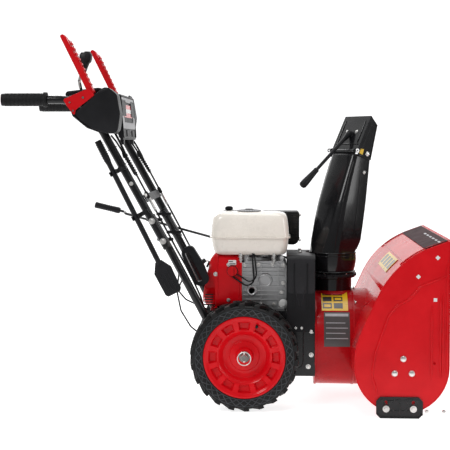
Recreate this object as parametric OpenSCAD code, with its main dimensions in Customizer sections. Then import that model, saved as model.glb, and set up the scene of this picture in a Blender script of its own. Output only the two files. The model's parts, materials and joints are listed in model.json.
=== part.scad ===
// Two stage snowblower: X runs forward, Y to the machine's left, Z up from the ground.
// Lengths are drawn from the wheel axle's X and moved so that the origin is the box's bottom centre.

/* [Wheels] */
// Tyre's outside diameter
tyre_d = 330; // [326:2:334]
// Tyre's width
tyre_w = 94; // [90:2:96]
// Wheel track, from tyre centre to tyre centre
track = 430; // [426:2:434]

/* [Intake housing] */
// Clearing width, over the side plates
clear_w = 610; // [606:2:620]
// Height of the housing's front edge
intake_h = 526; // [520:2:540]
// Auger's outside diameter
auger_d = 250; // [240:2:252]
// Impeller's outside diameter
impeller_d = 290; // [280:2:294]

/* [Chute] */
// Rest angle of the chute, to the machine's left
chute_turn = 35; // [0:1:60]
// Height of the chute channel's top edge
chute_top = 776; // [770:1:778]

/* [Handle] */
// Distance between the two handle tubes, centre to centre
handle_w = 390; // [386:1:394]
// Handle tube's outside diameter
handle_d = 25; // [24:0.5:26]

/* [Hidden] */
$fn = 48;
axle_x = 60.5;
axle_z = tyre_d / 2;
wall = 2.5;
half_w = clear_w / 2;
plate_t = 3;
auger_x = 470;
auger_z = 147;
auger_r = auger_d / 2;
imp_z = 190;
drum_r = 153;
drum_back = 217;
drum_front = 440;
barrel_r = 139.4;
front_x = 606;
chute_x = 277;
neck_r = 58;
shaft_z = 396;
tube_y_pos = handle_w / 2;
tube_r = handle_d / 2;
fold_x = -249;
fold_z = 512;
grip_z = 940;
lever_y = 265;
hinge_x = 40;
hinge_z = 787;
fit_gap = 0.05;
weld_gap = 0.2;
// Chute crank: worm end, rod's upper end, arm's end and grip's tip
crank_end = [285, 84, 391];
crank_start = [-430, 266, 566];
crank_arm = [-438, 302, 570];
crank_tip = [-540, 302, 594];
// Clutch cable from a hand lever down the inner side of the handle to the chassis
cable_route = [[-412, -172, 834], [-396, -174, 815], [-367, -178, 770], [-330, -180, 708], [-297, -180,
    646],
    [-264, -180, 586], [-235, -180, 532], [-211, -178, 486], [-184, -172, 436], [-159, -164, 384],
    [-138, -152, 334], [-126, -140, 290], [-119, -131, 256], [-114, -127, 246]];
gap = 0.3;
red = [0.78, 0.02, 0.05];
black = [0.06, 0.06, 0.07];
steel = [0.72, 0.73, 0.75];
cream = [0.88, 0.85, 0.8];
cast = [0.62, 0.63, 0.64];

// Housing outline seen from the side: x, z and corner radius
housing = [[front_x, intake_h, 8], [443, 466, 270], [327, 211, 200],
    [327, auger_z - barrel_r + 3, barrel_r], [front_x, auger_z - barrel_r + 3, barrel_r]];
// The hood sheet follows the same line, and ends under the auger
hood_line = [[front_x, intake_h, 0], [443, 466, 270], [327, 211, 200],
    [327, auger_z - barrel_r + 3, barrel_r], [505, auger_z - barrel_r + 3, 0]];

// Arc that rounds corner b between a and c
function unit(v) = v / norm(v);
function fillet(a, b, c, r, n = 10) = r <= 0 ? [b] :
    let (u = unit(a - b), v = unit(c - b), h = acos(u * v) / 2,
        m = b + unit(u + v) * r / sin(h),
        p = b + u * r / tan(h) - m, q = b + v * r / tan(h) - m,
        a0 = atan2(p.y, p.x), sweep = (atan2(q.y, q.x) - a0 + 540) % 360 - 180)
    [for (i = [0:n]) m + r * [cos(a0 + sweep * i / n), sin(a0 + sweep * i / n)]];
function xy(p) = [p[0], p[1]];
// Closed outline, and open line, with rounded corners
function rounded(p, n = 10) = let (k = len(p))
    [for (i = [0:k - 1]) each fillet(xy(p[(i + k - 1) % k]), xy(p[i]), xy(p[(i + 1) % k]), p[i][2], n)];
function rounded_line(p, n = 14) = let (k = len(p))
    concat([xy(p[0])], [for (i = [1:k - 2]) each fillet(xy(p[i - 1]), xy(p[i]), xy(p[i + 1]), p[i][2], n)],
        [xy(p[k - 1])]);
// The line moved sideways by t, to its left
function shifted(p, t) = let (k = len(p))
    [for (i = [0:k - 1]) let (d = unit(p[min(i + 1, k - 1)] - p[max(i - 1, 0)])) p[i] + t * [-d.y, d.x]];
function band(p, t) = concat(p, [for (i = [len(p) - 1:-1:0]) shifted(p, t)[i]]);

// Placement and basic forms
module at_axle() { translate([axle_x, 0, 0]) children(); }
module slab(p, y0, y1) { translate([0, y1, 0]) rotate([90, 0, 0]) linear_extrude(y1 - y0) polygon(p); }
module slab_x(p, x0, x1) { translate([x0, 0, 0]) rotate([90, 0, 90]) linear_extrude(x1 - x0) polygon(p); }
module bar_y(r, y0, y1) { translate([0, y0, 0]) rotate([-90, 0, 0]) cylinder(r = r, h = y1 - y0); }
module bar_x(r, x0, x1) { translate([x0, 0, 0]) rotate([0, 90, 0]) cylinder(r = r, h = x1 - x0); }
module block(a, b) { translate(a) cube(b - a); }
module rod(a, b, r) {
    d = b - a;
    translate(a) rotate([0, acos(d.z / norm(d)), atan2(d.y, d.x)]) cylinder(h = norm(d), r = r);
}
// Bent round bar through the points, with ball joints at the bends
module bent(p, r) {
    for (i = [0:len(p) - 2]) rod(p[i], p[i + 1], r);
    if (len(p) > 2) for (i = [1:len(p) - 2]) translate(p[i]) sphere(r = r * 1.12);
}
// A ring of pieces about the Z axis
module around(n, first = 0) { for (i = [0:n - 1]) rotate([0, 0, first + i * 360 / n]) children(); }

// Cable swept along points as one closed tube
function sweep_frames(p) = [for (i = [0:len(p) - 1]) unit(p[min(i + 1, len(p) - 1)] - p[max(i - 1, 0)])];
module cable(p, r, sides = 8) {
    t = sweep_frames(p);
    rings = [for (i = [0:len(p) - 1]) let (u = unit(cross(t[i], [0.31, 0.17, 1])), v = cross(t[i], u))
        for (j = [0:sides - 1]) p[i] + r * (u * cos(360 * j / sides) + v * sin(360 * j / sides))];
    n = len(p);
    sides_f = [for (i = [0:n - 2]) for (j = [0:sides - 1])
        [i * sides + j, (i + 1) * sides + j, (i + 1) * sides + (j + 1) % sides,
            i * sides + (j + 1) % sides]];
    polyhedron(points = rings, faces = concat(sides_f,
        [[for (j = [0:sides - 1]) j]], [[for (j = [sides - 1:-1:0]) (n - 1) * sides + j]]));
}

// The path with each corner rounded over the length run
function curved(p, run, n = 6) = let (k = len(p))
    concat([p[0]], [for (i = [1:k - 2]) let (s = p[i] + run * unit(p[i - 1] - p[i]),
        e = p[i] + run * unit(p[i + 1] - p[i]))
        each [for (j = [0:n]) let (q = j / n)
            (1 - q) * (1 - q) * s + 2 * q * (1 - q) * p[i] + q * q * e]], [p[k - 1]]);

// ---- Chassis and intake housing ----
module chassis_frame() at_axle() color(black) difference() {
    block([-110, -138, 86], [drum_back, 138, 290]);
    block([-107, -135, 80], [drum_back - 3, 135, 287]);
    // belts come down from the engine
    block([134, -75, 280], [188, 75, 295]);
    translate([0, 0, axle_z]) bar_y(15, -145, 145);
    translate([0, 0, imp_z]) bar_x(15, 200, 230);
}
module bottom_cover() at_axle() color([0.2, 0.2, 0.21]) difference() {
    block([-106, -134, 86], [drum_back - 4, 134, 88]);
    for (x = [-80, 180], y = [-110, 110]) translate([x, y, 80]) cylinder(r = 3.2, h = 12);
}
module shaft_bushes() at_axle() color([0.5, 0.46, 0.38]) {
    for (s = [-1, 1]) {
        translate([0, 0, axle_z]) difference() {
            union() { bar_y(15, s > 0 ? 135 : -142, s > 0 ? 142 : -135); bar_y(22, s > 0 ? 138 : -142,
                s > 0 ? 142 : -138); }
            bar_y(9.5 + fit_gap, -150, 150);
        }
        // flanged auger bearings inside the side plates
        translate([auger_x, 0, auger_z]) difference() {
            union() {
                bar_y(14, s > 0 ? 293 : -half_w + plate_t, s > 0 ? half_w - plate_t : -293);
                bar_y(38, s > 0 ? 297 : -half_w + plate_t, s > 0 ? half_w - plate_t : -297);
            }
            bar_y(10 + fit_gap, -310, 310);
            for (a = [30, 150, 270]) rotate([0, a, 0]) translate([29, 0, 0]) bar_y(4.1, -310, 310);
        }
    }
    translate([0, 0, imp_z]) difference() {
        union() { bar_x(15, 209, 223); bar_x(28, drum_back + wall, 223); }
        bar_x(8 + fit_gap, 200, 230);
    }
}
module impeller_drum() at_axle() color(red) {
    difference() {
        union() {
            translate([0, 0, imp_z]) bar_x(drum_r, drum_back, drum_front);
            // bracket that guides the chute crank
            block([222, 78, 338], [225, 118, 440]);
            block([222, 60, 318], [245, 118, 340]);
        }
        translate([0, 0, imp_z]) bar_x(drum_r - wall, drum_back + wall, drum_front + 1);
        translate([chute_x, 0, 200]) cylinder(r = neck_r - wall, h = 260);
        translate([0, 0, imp_z]) bar_x(15, 200, 230);
        slab(rounded(housing), -200, 200);
        slab(band(rounded_line(hood_line), wall), -200, 200);
        rod(crank_end, crank_start, 6);
    }
    // neck that is welded on over the drum's mouth
    difference() {
        union() {
            translate([chute_x, 0, 300]) cylinder(r = neck_r, h = 84);
            translate([chute_x, 0, 384]) cylinder(r = neck_r + 12, h = 3);
        }
        translate([chute_x, 0, 200]) cylinder(r = neck_r - wall, h = 260);
        translate([0, 0, imp_z]) bar_x(drum_r + weld_gap, 150, 400);
    }
}
module auger_hood() at_axle() color(red) difference() {
    slab(band(rounded_line(hood_line), wall), -half_w + plate_t, half_w - plate_t);
    translate([0, 0, imp_z]) bar_x(drum_r - wall, 300, drum_front);
}
module side_plate(s) {
    difference() {
        slab(rounded(housing), s > 0 ? half_w - plate_t : -half_w, s > 0 ? half_w : -half_w + plate_t);
        translate([auger_x, 0, auger_z]) for (a = [30, 150, 270]) rotate([0, a, 0]) translate([29, 0,
            0]) bar_y(4.1, -310, 310);
        // round hole for a drift cutter, and square ones
        translate([561, 0, 163]) bar_y(4.25, -310, 310);
        for (p = [[512, 419, 45], [568, 475, 45], [562, 351, 0]])
            translate([p.x, 0, p.y]) rotate([0, p.z, 0]) cube([10, 700, 10], center = true);
        for (x = [420, 500]) translate([x, 0, 28]) bar_y(4.1, -310, 310);
    }
}
module side_plate_right() at_axle() color(red) side_plate(-1);
module side_plate_left() at_axle() color(red) side_plate(1);
module scraper_blade() at_axle() color(steel) difference() {
    block([484, -half_w + plate_t, 5.8], [530, half_w - plate_t, 9.8]);
    for (y = [-240, -80, 80, 240]) translate([496, y, 0]) cylinder(r = 4, h = 20);
}
module housing_bolts() at_axle() color(steel) for (s = [-1, 1]) {
    // carriage bolts of the auger bearings
    translate([auger_x, 0, auger_z]) for (a = [30, 150, 270]) rotate([0, a, 0]) translate([29, 0, 0]) {
        bar_y(4, s > 0 ? 296 : -half_w, s > 0 ? half_w : -296);
        bar_y(9, s > 0 ? half_w : -half_w - 4, s > 0 ? half_w + 4 : -half_w);
    }
    // skid shoe bolts, with a washer that leaves the shoe free to slide
    for (x = [420, 500]) translate([x, 0, 28]) {
        bar_y(4, s > 0 ? half_w - 10 : -half_w - 8, s > 0 ? half_w + 8 : -half_w + 10);
        bar_y(10, s > 0 ? half_w + 5.4 : -half_w - 8, s > 0 ? half_w + 8 : -half_w - 5.4);
        bar_y(6.5, s > 0 ? half_w + 8 : -half_w - 12, s > 0 ? half_w + 12 : -half_w - 8);
    }
}
module skid_shoe(s) {
    y0 = s > 0 ? half_w + gap : -half_w - 5;
    difference() {
        slab([[391, 12], [403, 0], [516, 0], [528, 12], [528, 50], [516, 63], [403, 63], [391, 50]], y0,
            y0 + 5 - gap);
        for (x = [420, 500]) hull() for (z = [26, 48]) translate([x, 0, z]) bar_y(4.4, -320, 320);
    }
    // sole turned inwards, with upturned ends
    slab([[391, 12], [403, 0], [516, 0], [528, 12], [526, 14], [515, 2.6], [404, 2.6], [393, 14]],
        s > 0 ? half_w + gap : -half_w - 8, s > 0 ? half_w + 8 : -half_w - gap);
}
module skid_shoe_right() at_axle() color(black) skid_shoe(-1);
module skid_shoe_left() at_axle() color(black) skid_shoe(1);

// ---- Auger, gearbox and impeller ----
module auger_gearbox() at_axle() color(cast) difference() {
    union() {
        slab(rounded([[432, 205, 14], [432, 110, 30], [508, 110, 30], [508, 212, 14]]), -26, 26);
        translate([0, 0, imp_z]) bar_x(20, 392, 512);
        translate([auger_x, 0, auger_z]) bar_y(20, -32, 32);
    }
    translate([auger_x, 0, auger_z]) bar_y(31.5, -13, 13);
    translate([0, 0, imp_z]) bar_x(13, 440, 502);
    translate([auger_x, 0, auger_z]) bar_y(10 + fit_gap, -40, 40);
    translate([0, 0, imp_z]) bar_x(8 + fit_gap, 380, 450);
}
module auger_shaft() at_axle() color(steel) translate([auger_x, 0, auger_z]) {
    bar_y(10, -half_w + plate_t + 0.5, half_w - plate_t - 0.5);
    bar_y(30, -9, 9);
}
// One turn and a half of ribbon, wound the other way on each side
module flight(s) {
    steps = 30;
    r0 = 70;
    pts = [for (i = [0:steps]) let (a = s * i * 18, y = s * (42 + i * 240 / steps))
        each [for (c = [[r0, 0], [auger_r, 0], [auger_r, 3], [r0, 3]]) [c.x * cos(a), y + s * c.y,
            c.x * sin(a)]]];
    f = [for (i = [0:steps - 1]) for (j = [0:3])
        [i * 4 + j, (i + 1) * 4 + j, (i + 1) * 4 + (j + 1) % 4, i * 4 + (j + 1) % 4]];
    translate([auger_x, 0, auger_z]) {
        polyhedron(points = pts, faces = concat(f, [[0, 1, 2, 3]], [[for (j = [3:-1:0]) steps * 4 + j]]));
        difference() {
            bar_y(14, s > 0 ? 36 : -291, s > 0 ? 291 : -36);
            bar_y(10.3, -300, 300);
        }
        // arms that carry the ribbon
        for (i = [2, 10, 20, 28]) let (a = s * i * 18, y = s * (43.5 + i * 240 / steps))
            rod([12 * cos(a), y, 12 * sin(a)], [(r0 + 12) * cos(a), y, (r0 + 12) * sin(a)], 5);
    }
}
module auger_flight_right() at_axle() color(red) flight(-1);
module auger_flight_left() at_axle() color(red) flight(1);
module impeller_fan() at_axle() color(red) translate([0, 0, imp_z]) difference() {
    union() {
        bar_x(17, 232, 300);
        bar_x(60, 232, 235);
        for (i = [0:3]) rotate([45 + i * 90, 0, 0]) {
            block([232, -3, 12], [316, 3, impeller_d / 2 - 3]);
            block([232, 3, impeller_d / 2 - 30], [316, 16, impeller_d / 2 - 26]);
        }
    }
    bar_x(8.01, 220, 330);
}
module impeller_shaft() at_axle() color(steel) translate([0, 0, imp_z]) {
    bar_x(8, 156, 500);
    bar_x(12, 452, 488);
}
// Grooved belt pulley of groove radius r between x0 and x1
module pulley(r, x0, x1, bore) {
    difference() {
        bar_x(r + 9, x0, x1);
        difference() { bar_x(r + 20, x0 + 2.5, x1 - 2.5); bar_x(r, x0, x1); }
        bar_x(bore, x0 - 5, x1 + 5);
    }
}
module impeller_pulley() at_axle() color(cast) translate([0, 0, imp_z]) pulley(72, 162, 178, 8.01);

// ---- Traction drive ----
module drive_axle() at_axle() color(steel) translate([0, 0, axle_z]) {
    difference() {
        bar_y(9.5, -264, 264);
        for (y = [-257, 257]) translate([0, y, -20]) cylinder(r = 3.3, h = 40);
    }
    bar_y(50, -104, -98);
}
module linchpins() at_axle() color(steel) for (s = [-1, 1]) translate([0, s * 257, axle_z]) {
    translate([0, 0, -14]) cylinder(r = 3.2, h = 30);
    // the ring lies over the axle's end
    translate([0, s * 9.6, -1]) rotate([90, 0, 0]) rotate_extrude() translate([20, 0]) circle(r = 1.6,
        $fn = 16);
    translate([0, 0, 17]) rotate([s > 0 ? -90 : 90, 0, 0]) cylinder(r = 2.5, h = 10);
}
module friction_shaft() at_axle() color(steel) translate([66, 0, 205]) {
    bar_y(7, -134.5, 134.5);
    bar_y(44, 34, 46);
    bar_y(18, -104, -98);
}
module loop_x(y0, z0, r0, z1, r1, x0, x1, t) {
    difference() {
        hull() { translate([0, y0, z0]) bar_x(r0 + t, x0, x1); translate([0, y0, z1]) bar_x(r1 + t, x0,
            x1); }
        hull() { translate([0, y0, z0]) bar_x(r0, x0 - 1, x1 + 1); translate([0, y0, z1]) bar_x(r1,
            x0 - 1, x1 + 1); }
    }
}
module drive_belts() at_axle() color([0.1, 0.1, 0.1]) {
    loop_x(0, imp_z, 72.6, shaft_z, 33.6, 166, 174, 6);
    loop_x(0, 205, 50.6, shaft_z, 28.6, 141, 148, 6);
}
module drive_chain() at_axle() color([0.35, 0.33, 0.3]) difference() {
    hull() { translate([0, 0, axle_z]) bar_y(56, -103.5, -98.5); translate([66, 0, 205]) bar_y(24, -103.5,
        -98.5); }
    hull() { translate([0, 0, axle_z]) bar_y(50.6, -106, -96); translate([66, 0, 205]) bar_y(18.6, -106,
        -96); }
}
module drive_disc() at_axle() color(cast) translate([0, 0, 205]) {
    bar_x(9, 112, 151);
    bar_x(70, 114, 119);
    pulley(50, 138, 151, 8.9);
}
// Rim with a dished centre and a ring of pockets on its outer face
module rim(s) {
    mirror([0, s > 0 ? 1 : 0, 0]) translate([0, -track / 2, axle_z]) difference() {
        rotate([90, 0, 0]) rotate_extrude($fn = 72) polygon([[9.55, 26], [26, 26], [30, 14], [45, 12],
            [66, 16], [80, 34], [112, 38], [118, 44], [124.6, 44], [124.6, 40], [120, 36], [118, -36],
            [124.6, -40], [124.6, -44], [115, -44], [113, -34], [111, 33], [82, 29], [68, 11], [45, 7],
            [24, 7], [24, -38], [9.55, -38]]);
        rotate([90, 0, 0]) around(12, 15) translate([96, 0, 33]) cylinder(r = 9, h = 20);
        // linchpin's cross hole in the hub
        translate([0, -42, 0]) cylinder(r = 3.3, h = 60, center = true);
    }
}
module rim_right() at_axle() color(red) rim(-1);
module rim_left() at_axle() color(red) rim(1);
module tyre(s) {
    h = tyre_w / 2;
    r = tyre_d / 2;
    translate([0, s * track / 2, axle_z]) difference() {
        rotate([90, 0, 0]) rotate_extrude($fn = 96) polygon([[125, -h + 5], [134, -h + 1], [148, -h],
            [158, -h + 4],
            [r - 1, -h + 12], [r, -h + 24], [r, h - 24], [r - 1, h - 12], [158, h - 4], [148, h], [134,
                h - 1],
            [125, h - 5], [125, h - 12], [146, h - 8], [156, h - 24], [156, -h + 24], [146, -h + 8], [125,
                -h + 12]]);
        // tread grooves
        rotate([90, 0, 0]) rotate_extrude($fn = 96) for (y = [-16, 16]) translate([158,
            y - 3]) square([12, 6]);
    }
}
module tyre_right() at_axle() color([0.05, 0.05, 0.05]) tyre(-1);
module tyre_left() at_axle() color([0.05, 0.05, 0.05]) tyre(1);

// ---- Engine ----
module engine_block() at_axle() color(cast) {
    difference() {
        slab(rounded([[-12, 290, 4], [128, 290, 4], [128, 440, 16], [-12, 440, 16]]), -95, 60);
        block([-9, -89, 300], [122, 54, 434]);
        translate([0, 0, shaft_z]) bar_x(12.5 + fit_gap, -20, 140);
        // opening of the cylinder bore
        translate([56, 0, shaft_z]) rotate([-65, 0, 0]) cylinder(r = 34, h = 120);
    }
    // feet, tank posts, filler and drain plugs
    for (x = [-4, 100]) for (y = [-104, 60]) block([x, y, 290], [x + 22, y + 9, 298]);
    for (x = [-2, 88]) translate([x, -78, 438]) cylinder(r = 9, h = 27);
    translate([19, 0, 348]) bar_y(16, -106, -94);
    translate([118, 0, 308]) bar_y(14, -108, -94);
    for (z = [330, 372, 412]) block([30, -98, z], [112, -94, z + 4]);
}
module engine_cylinder() at_axle() color(cast) translate([56, 0, shaft_z]) rotate([-65, 0,
    0]) difference() {
    union() {
        translate([0, 0, 40]) cylinder(r = 33.6, h = 74);
        for (i = [0:4]) translate([-52, -36, 76 + i * 7]) cube([104, 72, 3]);
        translate([-48, -32, 112]) cube([96, 64, 10]);
    }
    cylinder(r = 28, h = 108);
}
module blower_housing() at_axle() color(red) difference() {
    slab_x(rounded([[-105, 292, 30], [105, 292, 30], [105, 462, 60], [-105, 462, 46]]), -96, -12.2);
    slab_x(rounded([[-102, 295, 27], [102, 295, 27], [102, 459, 57], [-102, 459, 43]]), -93, -10);
    translate([0, 0, shaft_z]) bar_x(76, -100, -90);
    translate([-42, 0, 410]) bar_y(7, -110, -95);
}
module recoil_cover() at_axle() color(red) difference() {
    intersection() {
        slab(rounded([[-96.2, 292, 0], [-96.2, 462, 0], [-110, 446, 10], [-134, 330, 10], [-128, 292,
            10]]), -95, 95);
        translate([0, 0, 380]) bar_x(98, -140, -90);
    }
    intersection() {
        slab(rounded([[-90, 296, 0], [-90, 458, 0], [-107, 444, 8], [-130.5, 331, 8], [-125, 296, 8]]),
            -92, 92);
        translate([0, 0, 380]) bar_x(95, -140, -90);
    }
    // slots that let the cooling air in
    for (z = [310, 320, 330]) block([-140, -50, z], [-108, 50, z + 4]);
    translate([-110, -40, 420]) rotate([0, -60, 0]) cylinder(r = 6, h = 30, center = true);
}
module crankshaft() at_axle() color(steel) translate([0, 0, shaft_z]) {
    bar_x(12.5, -88, 182);
    bar_x(36, 44, 68);
    difference() {
        bar_x(60, -86, -60);
        for (i = [0:11]) rotate([i * 30, 0, 0]) translate([0, 0, 46]) bar_x(8, -90, -72);
    }
    pulley(28, 138, 151, 12);
    pulley(33, 162, 178, 12);
}
module fuel_tank() at_axle() color(cream) difference() {
    union() {
        hull() {
            translate([-94, -102, 584]) cube([222, 112, 1]);
            translate([-82, -92, 593]) cube([198, 92, 1]);
            translate([-106, -110, 517]) cube([242, 130, 1]);
        }
        hull() {
            translate([-103, -107, 512]) cube([236, 124, 1]);
            translate([-98, -103, 478]) cube([226, 116, 1]);
            translate([-72, -94, 465]) cube([176, 100, 1]);
        }
        block([-110, -114, 512.5], [140, 24, 518]);
        translate([9, -45, 590]) cylinder(r = 26, h = 6);
    }
    translate([9, -45, 575]) cylinder(r = 20, h = 40);
    block([-90, -96, 484], [120, 6, 576]);
}
module fuel_cap() at_axle() color(black) translate([9, -45, 0]) {
    difference() {
        translate([0, 0, 596.3]) cylinder(r = 39, h = 7);
        translate([0, 0, 590]) cylinder(r = 16, h = 9);
    }
    for (a = [0:30:330]) rotate([0, 0, a]) translate([37, -3, 596.3]) cube([3.5, 6, 6]);
    difference() {
        translate([0, 0, 580]) cylinder(r = 19.7, h = 17);
        translate([0, 0, 578]) cylinder(r = 16, h = 18);
    }
}
module muffler() at_axle() color(black) difference() {
    union() {
        slab(rounded([[44, 486, 12], [170, 480, 22], [170, 588, 8], [44, 588, 12]]), 30, 112);
        block([60, 60, 476.5], [90, 84, 488]);
    }
    slab(rounded([[50, 492, 8], [160, 492, 8], [160, 580, 8], [50, 580, 8]]), 36, 106);
    for (y = [42:14:98]) block([158, y, 502], [175, y + 7, 572]);
    for (x = [60:16:140]) block([x, 100, 505], [x + 8, 115, 570]);
}
module air_cleaner() at_axle() color(black) {
    difference() {
        slab(rounded([[-100, 510, 16], [30, 510, 8], [30, 589, 14], [-100, 589, 30]]), 28, 112);
        slab(rounded([[-97, 513, 13], [27, 513, 5], [27, 586, 11], [-97, 586, 27]]), 31, 109);
        // intake slots on the far side
        for (x = [-80:14:4]) block([x, 105, 530], [x + 6, 115, 550]);
    }
    translate([-60, 70, 587]) cylinder(r = 5, h = 8);
    translate([-60, 70, 592]) cylinder(r = 12, h = 10);
    // carburettor and its elbow, below the filter
    block([-50, 40, 468], [-10, 84, 512]);
    translate([0, 62, 490]) bar_x(14, -62, -48);
}
module engine_switch() at_axle() color(red) translate([-42, 0, 410]) {
    bar_y(6.9, -118, -100);
    bar_y(15, -118, -105.4);
    block([-3.5, -124, -14], [3.5, -117, 14]);
}
// Starter grip: a loop with a finger hole
module recoil_grip() at_axle() color(black) translate([-157, -112, 427]) rotate([0, -25, 0]) difference() {
    union() {
        slab(rounded([[-25, -66, 22], [22, -66, 20], [26, 0, 60], [18, 66, 17], [-25, 66, 22]]), -11, 11);
        rod([20, 0, 0], [34, 6, 3], 7);
    }
    slab(rounded([[-14, -50, 6], [2, -50, 6], [2, 50, 6], [-14, 50, 6]]), -20, 20);
}
module belt_form(inset) {
    difference() {
        slab_x(rounded([[-142 + inset, 225 - inset, 0], [-142 + inset, 462 - inset, 28], [92 - inset,
            462 - inset, 28],
            [92 - inset, 290.2 - inset, 0], [-138.4 + inset, 290.2 - inset, 0], [-138.4 + inset,
                225 - inset, 0]]),
            129 + inset, drum_back - 0.5 - inset);
        translate([chute_x, 0, 200]) cylinder(r = 88 + inset, h = 300);
    }
}
module belt_cover() at_axle() color([0.13, 0.13, 0.14]) {
    difference() {
        belt_form(0);
        intersection() {
            difference() {
                block([128, -139, 280], [drum_back - 3.5, 89, 459]);
                translate([chute_x, 0, 200]) cylinder(r = 91, h = 300);
            }
            slab_x(rounded([[-139, 270, 0], [-139, 459, 25], [89, 459, 25], [89, 270, 0]]), 120, 220);
        }
    }
    // ribs on the near side
    for (x = [150, 190]) block([x, -144.5, 300], [x + 4, -142, 440]);
}

// ---- Chute ----
module at_chute() { translate([chute_x, 0, 0]) rotate([0, 0, chute_turn]) children(); }
// Slice of the channel: back at x, front edge at f, half width w and corner radius r
module chute_slice(x, w, f, z, r) {
    for (y = [r - w, w - r]) translate([x + r, y, z]) cylinder(r = r, h = 1, $fn = 32);
    translate([x + r, -w, z]) cube([f - x - r, 2 * w, 1]);
}
module chute_form(t, ext) {
    hull() {
        translate([0, 0, 399.5]) cylinder(r = 66 - t, h = 1, $fn = 40);
        translate([0, 0, 430]) cylinder(r = 72 - t, h = 1, $fn = 40);
        chute_slice(-70 + t, 70 - t, 48 + ext, 455, 68 - t);
        chute_slice(-22 + t, 66 - t, 78 + ext, 620, 46 - t);
        chute_slice(36 + t, 61 - t, 100 + ext, chute_top - 1 + ext / 10, 20 - t);
    }
}
module chute_channel() at_axle() at_chute() color(black) {
    difference() {
        chute_form(0, 0);
        chute_form(wall, 30);
        translate([0, 0, 390]) cylinder(r = neck_r - wall, h = 30);
        // the mouth is open above the bowl
        block([20, -58, 462], [140, 58, 800]);
    }
    // hinge lugs and the pin that holds the deflector
    for (y = [-52, 44]) block([hinge_x - 4, y, 770], [hinge_x + 4, y + 8, hinge_z + 5]);
    translate([hinge_x, 0, hinge_z]) bar_y(3, -74, 74);
}
module chute_ring() at_axle() at_chute() color(black) difference() {
    union() {
        translate([0, 0, 387.3]) cylinder(r = 76, h = 7.7);
        translate([0, 0, 394]) cylinder(r = 66, h = 5.5);
    }
    translate([0, 0, 380]) cylinder(r = neck_r - wall, h = 30);
    around(20) translate([76, 0, 380]) cylinder(r = 3.5, h = 16);
}
module deflector() at_axle() at_chute() color(black) difference() {
    union() {
        slab([[47, hinge_z - 3], [104, 896], [128, 868], [100, 756], [52, 770]], -65.7, -63.2);
        slab([[47, hinge_z - 3], [104, 896], [128, 868], [100, 756], [52, 770]], 63.2, 65.7);
        slab([[44.5, hinge_z - 1], [101.4, 897], [104, 896], [47.4, hinge_z - 3]], -65.7, 65.7);
        for (y = [-62, 54]) translate([hinge_x, 0, hinge_z]) {
            bar_y(7, y, y + 8);
            block([0, y, -4], [10, y + 8, 6]);
        }
        for (y = [-68.5, 65.7]) translate([84, 0, 776]) bar_y(7, y, y + 2.8);
    }
    translate([hinge_x, 0, hinge_z]) bar_y(3 + fit_gap, -80, 80);
    translate([hinge_x, 0, hinge_z]) bar_y(9, -53, 53);
}
module deflector_lever() at_axle() at_chute() color(black) {
    // pad on the deflector's back, then the rod and its grip on one line
    out = unit([-110.5, 0, 57]);
    foot = [71.1, 0, 838];
    root = foot + 7 * out;
    tip = [-125, 0, 675];
    d = unit(tip - root);
    rod(foot + 0.1 * out, foot + 11 * out, 9);
    rod(root, tip, 5);
    rod(tip - 84 * d, tip, 11);
}
module chute_crank() at_axle() color(black) {
    d = unit(crank_tip - crank_arm);
    e = unit(crank_start - crank_end);
    rod(crank_start, crank_end, 4);
    cable(curved([crank_start - 24 * e, crank_start, crank_arm, crank_tip], 10), 4.5, 16);
    rod(crank_arm + 16 * d, crank_tip + 3 * d, 11);
    // worm that turns the chute ring
    rod(crank_end - 14 * e, crank_end + 34 * e, 7);
}

// ---- Handle ----
// Point on the handle's line, l above the fold pivot
function on_line(l, y) = [fold_x - 0.484 * l, y, fold_z + 0.875 * l];
function upper_bend(s) = curved([on_line(345, s * tube_y_pos), on_line(378, s * tube_y_pos), [-480,
    s * 215, 920],
    [-530, s * 262, grip_z], [-664, s * 262, grip_z]], 30);
function lower_path(s) = [on_line(86, s * 168), on_line(-42, s * 168), [-80, s * 151, 190]];
module lower_tube(s) {
    difference() {
        bent(lower_path(s), tube_r);
        translate([fold_x, 0, fold_z]) bar_y(4.01, -250, 250);
        // open slot that frees the lock bolt when the handle folds
        translate(on_line(70, 0)) rotate([0, -29, 0]) {
            bar_y(4.4, -250, 250);
            block([-40, -250, -8], [0, 250, 4.4]);
        }
    }
    // feet that bolt to the chassis
    for (p = [[-100, 228], [-83, 196]]) translate([p.x, 0, p.y]) bar_y(6, s > 0 ? 138 : -150,
        s > 0 ? 150 : -138);
}
module lower_tube_right() at_axle() color(black) lower_tube(-1);
module lower_tube_left() at_axle() color(black) mirror([0, 1, 0]) lower_tube(-1);
module handle_bolt(s, p) {
    translate([p.x, 0, p.z]) {
        bar_y(4, s > 0 ? 146 : -tube_y_pos - tube_r, s > 0 ? tube_y_pos + tube_r : -146);
        bar_y(9, s > 0 ? tube_y_pos + tube_r + 0.3 : -tube_y_pos - tube_r - 4,
            s > 0 ? tube_y_pos + tube_r + 4 : -tube_y_pos - tube_r - 0.3);
        bar_y(4, s > 0 ? tube_y_pos + tube_r - 1 : -tube_y_pos - tube_r - 1,
            s > 0 ? tube_y_pos + tube_r + 1 : -tube_y_pos - tube_r + 1);
        // wing knob
        bar_y(9, s > 0 ? 140 : -155, s > 0 ? 155 : -140);
        block([-24, s > 0 ? 136 : -146, -4], [24, s > 0 ? 146 : -136, 4]);
    }
}
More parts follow.
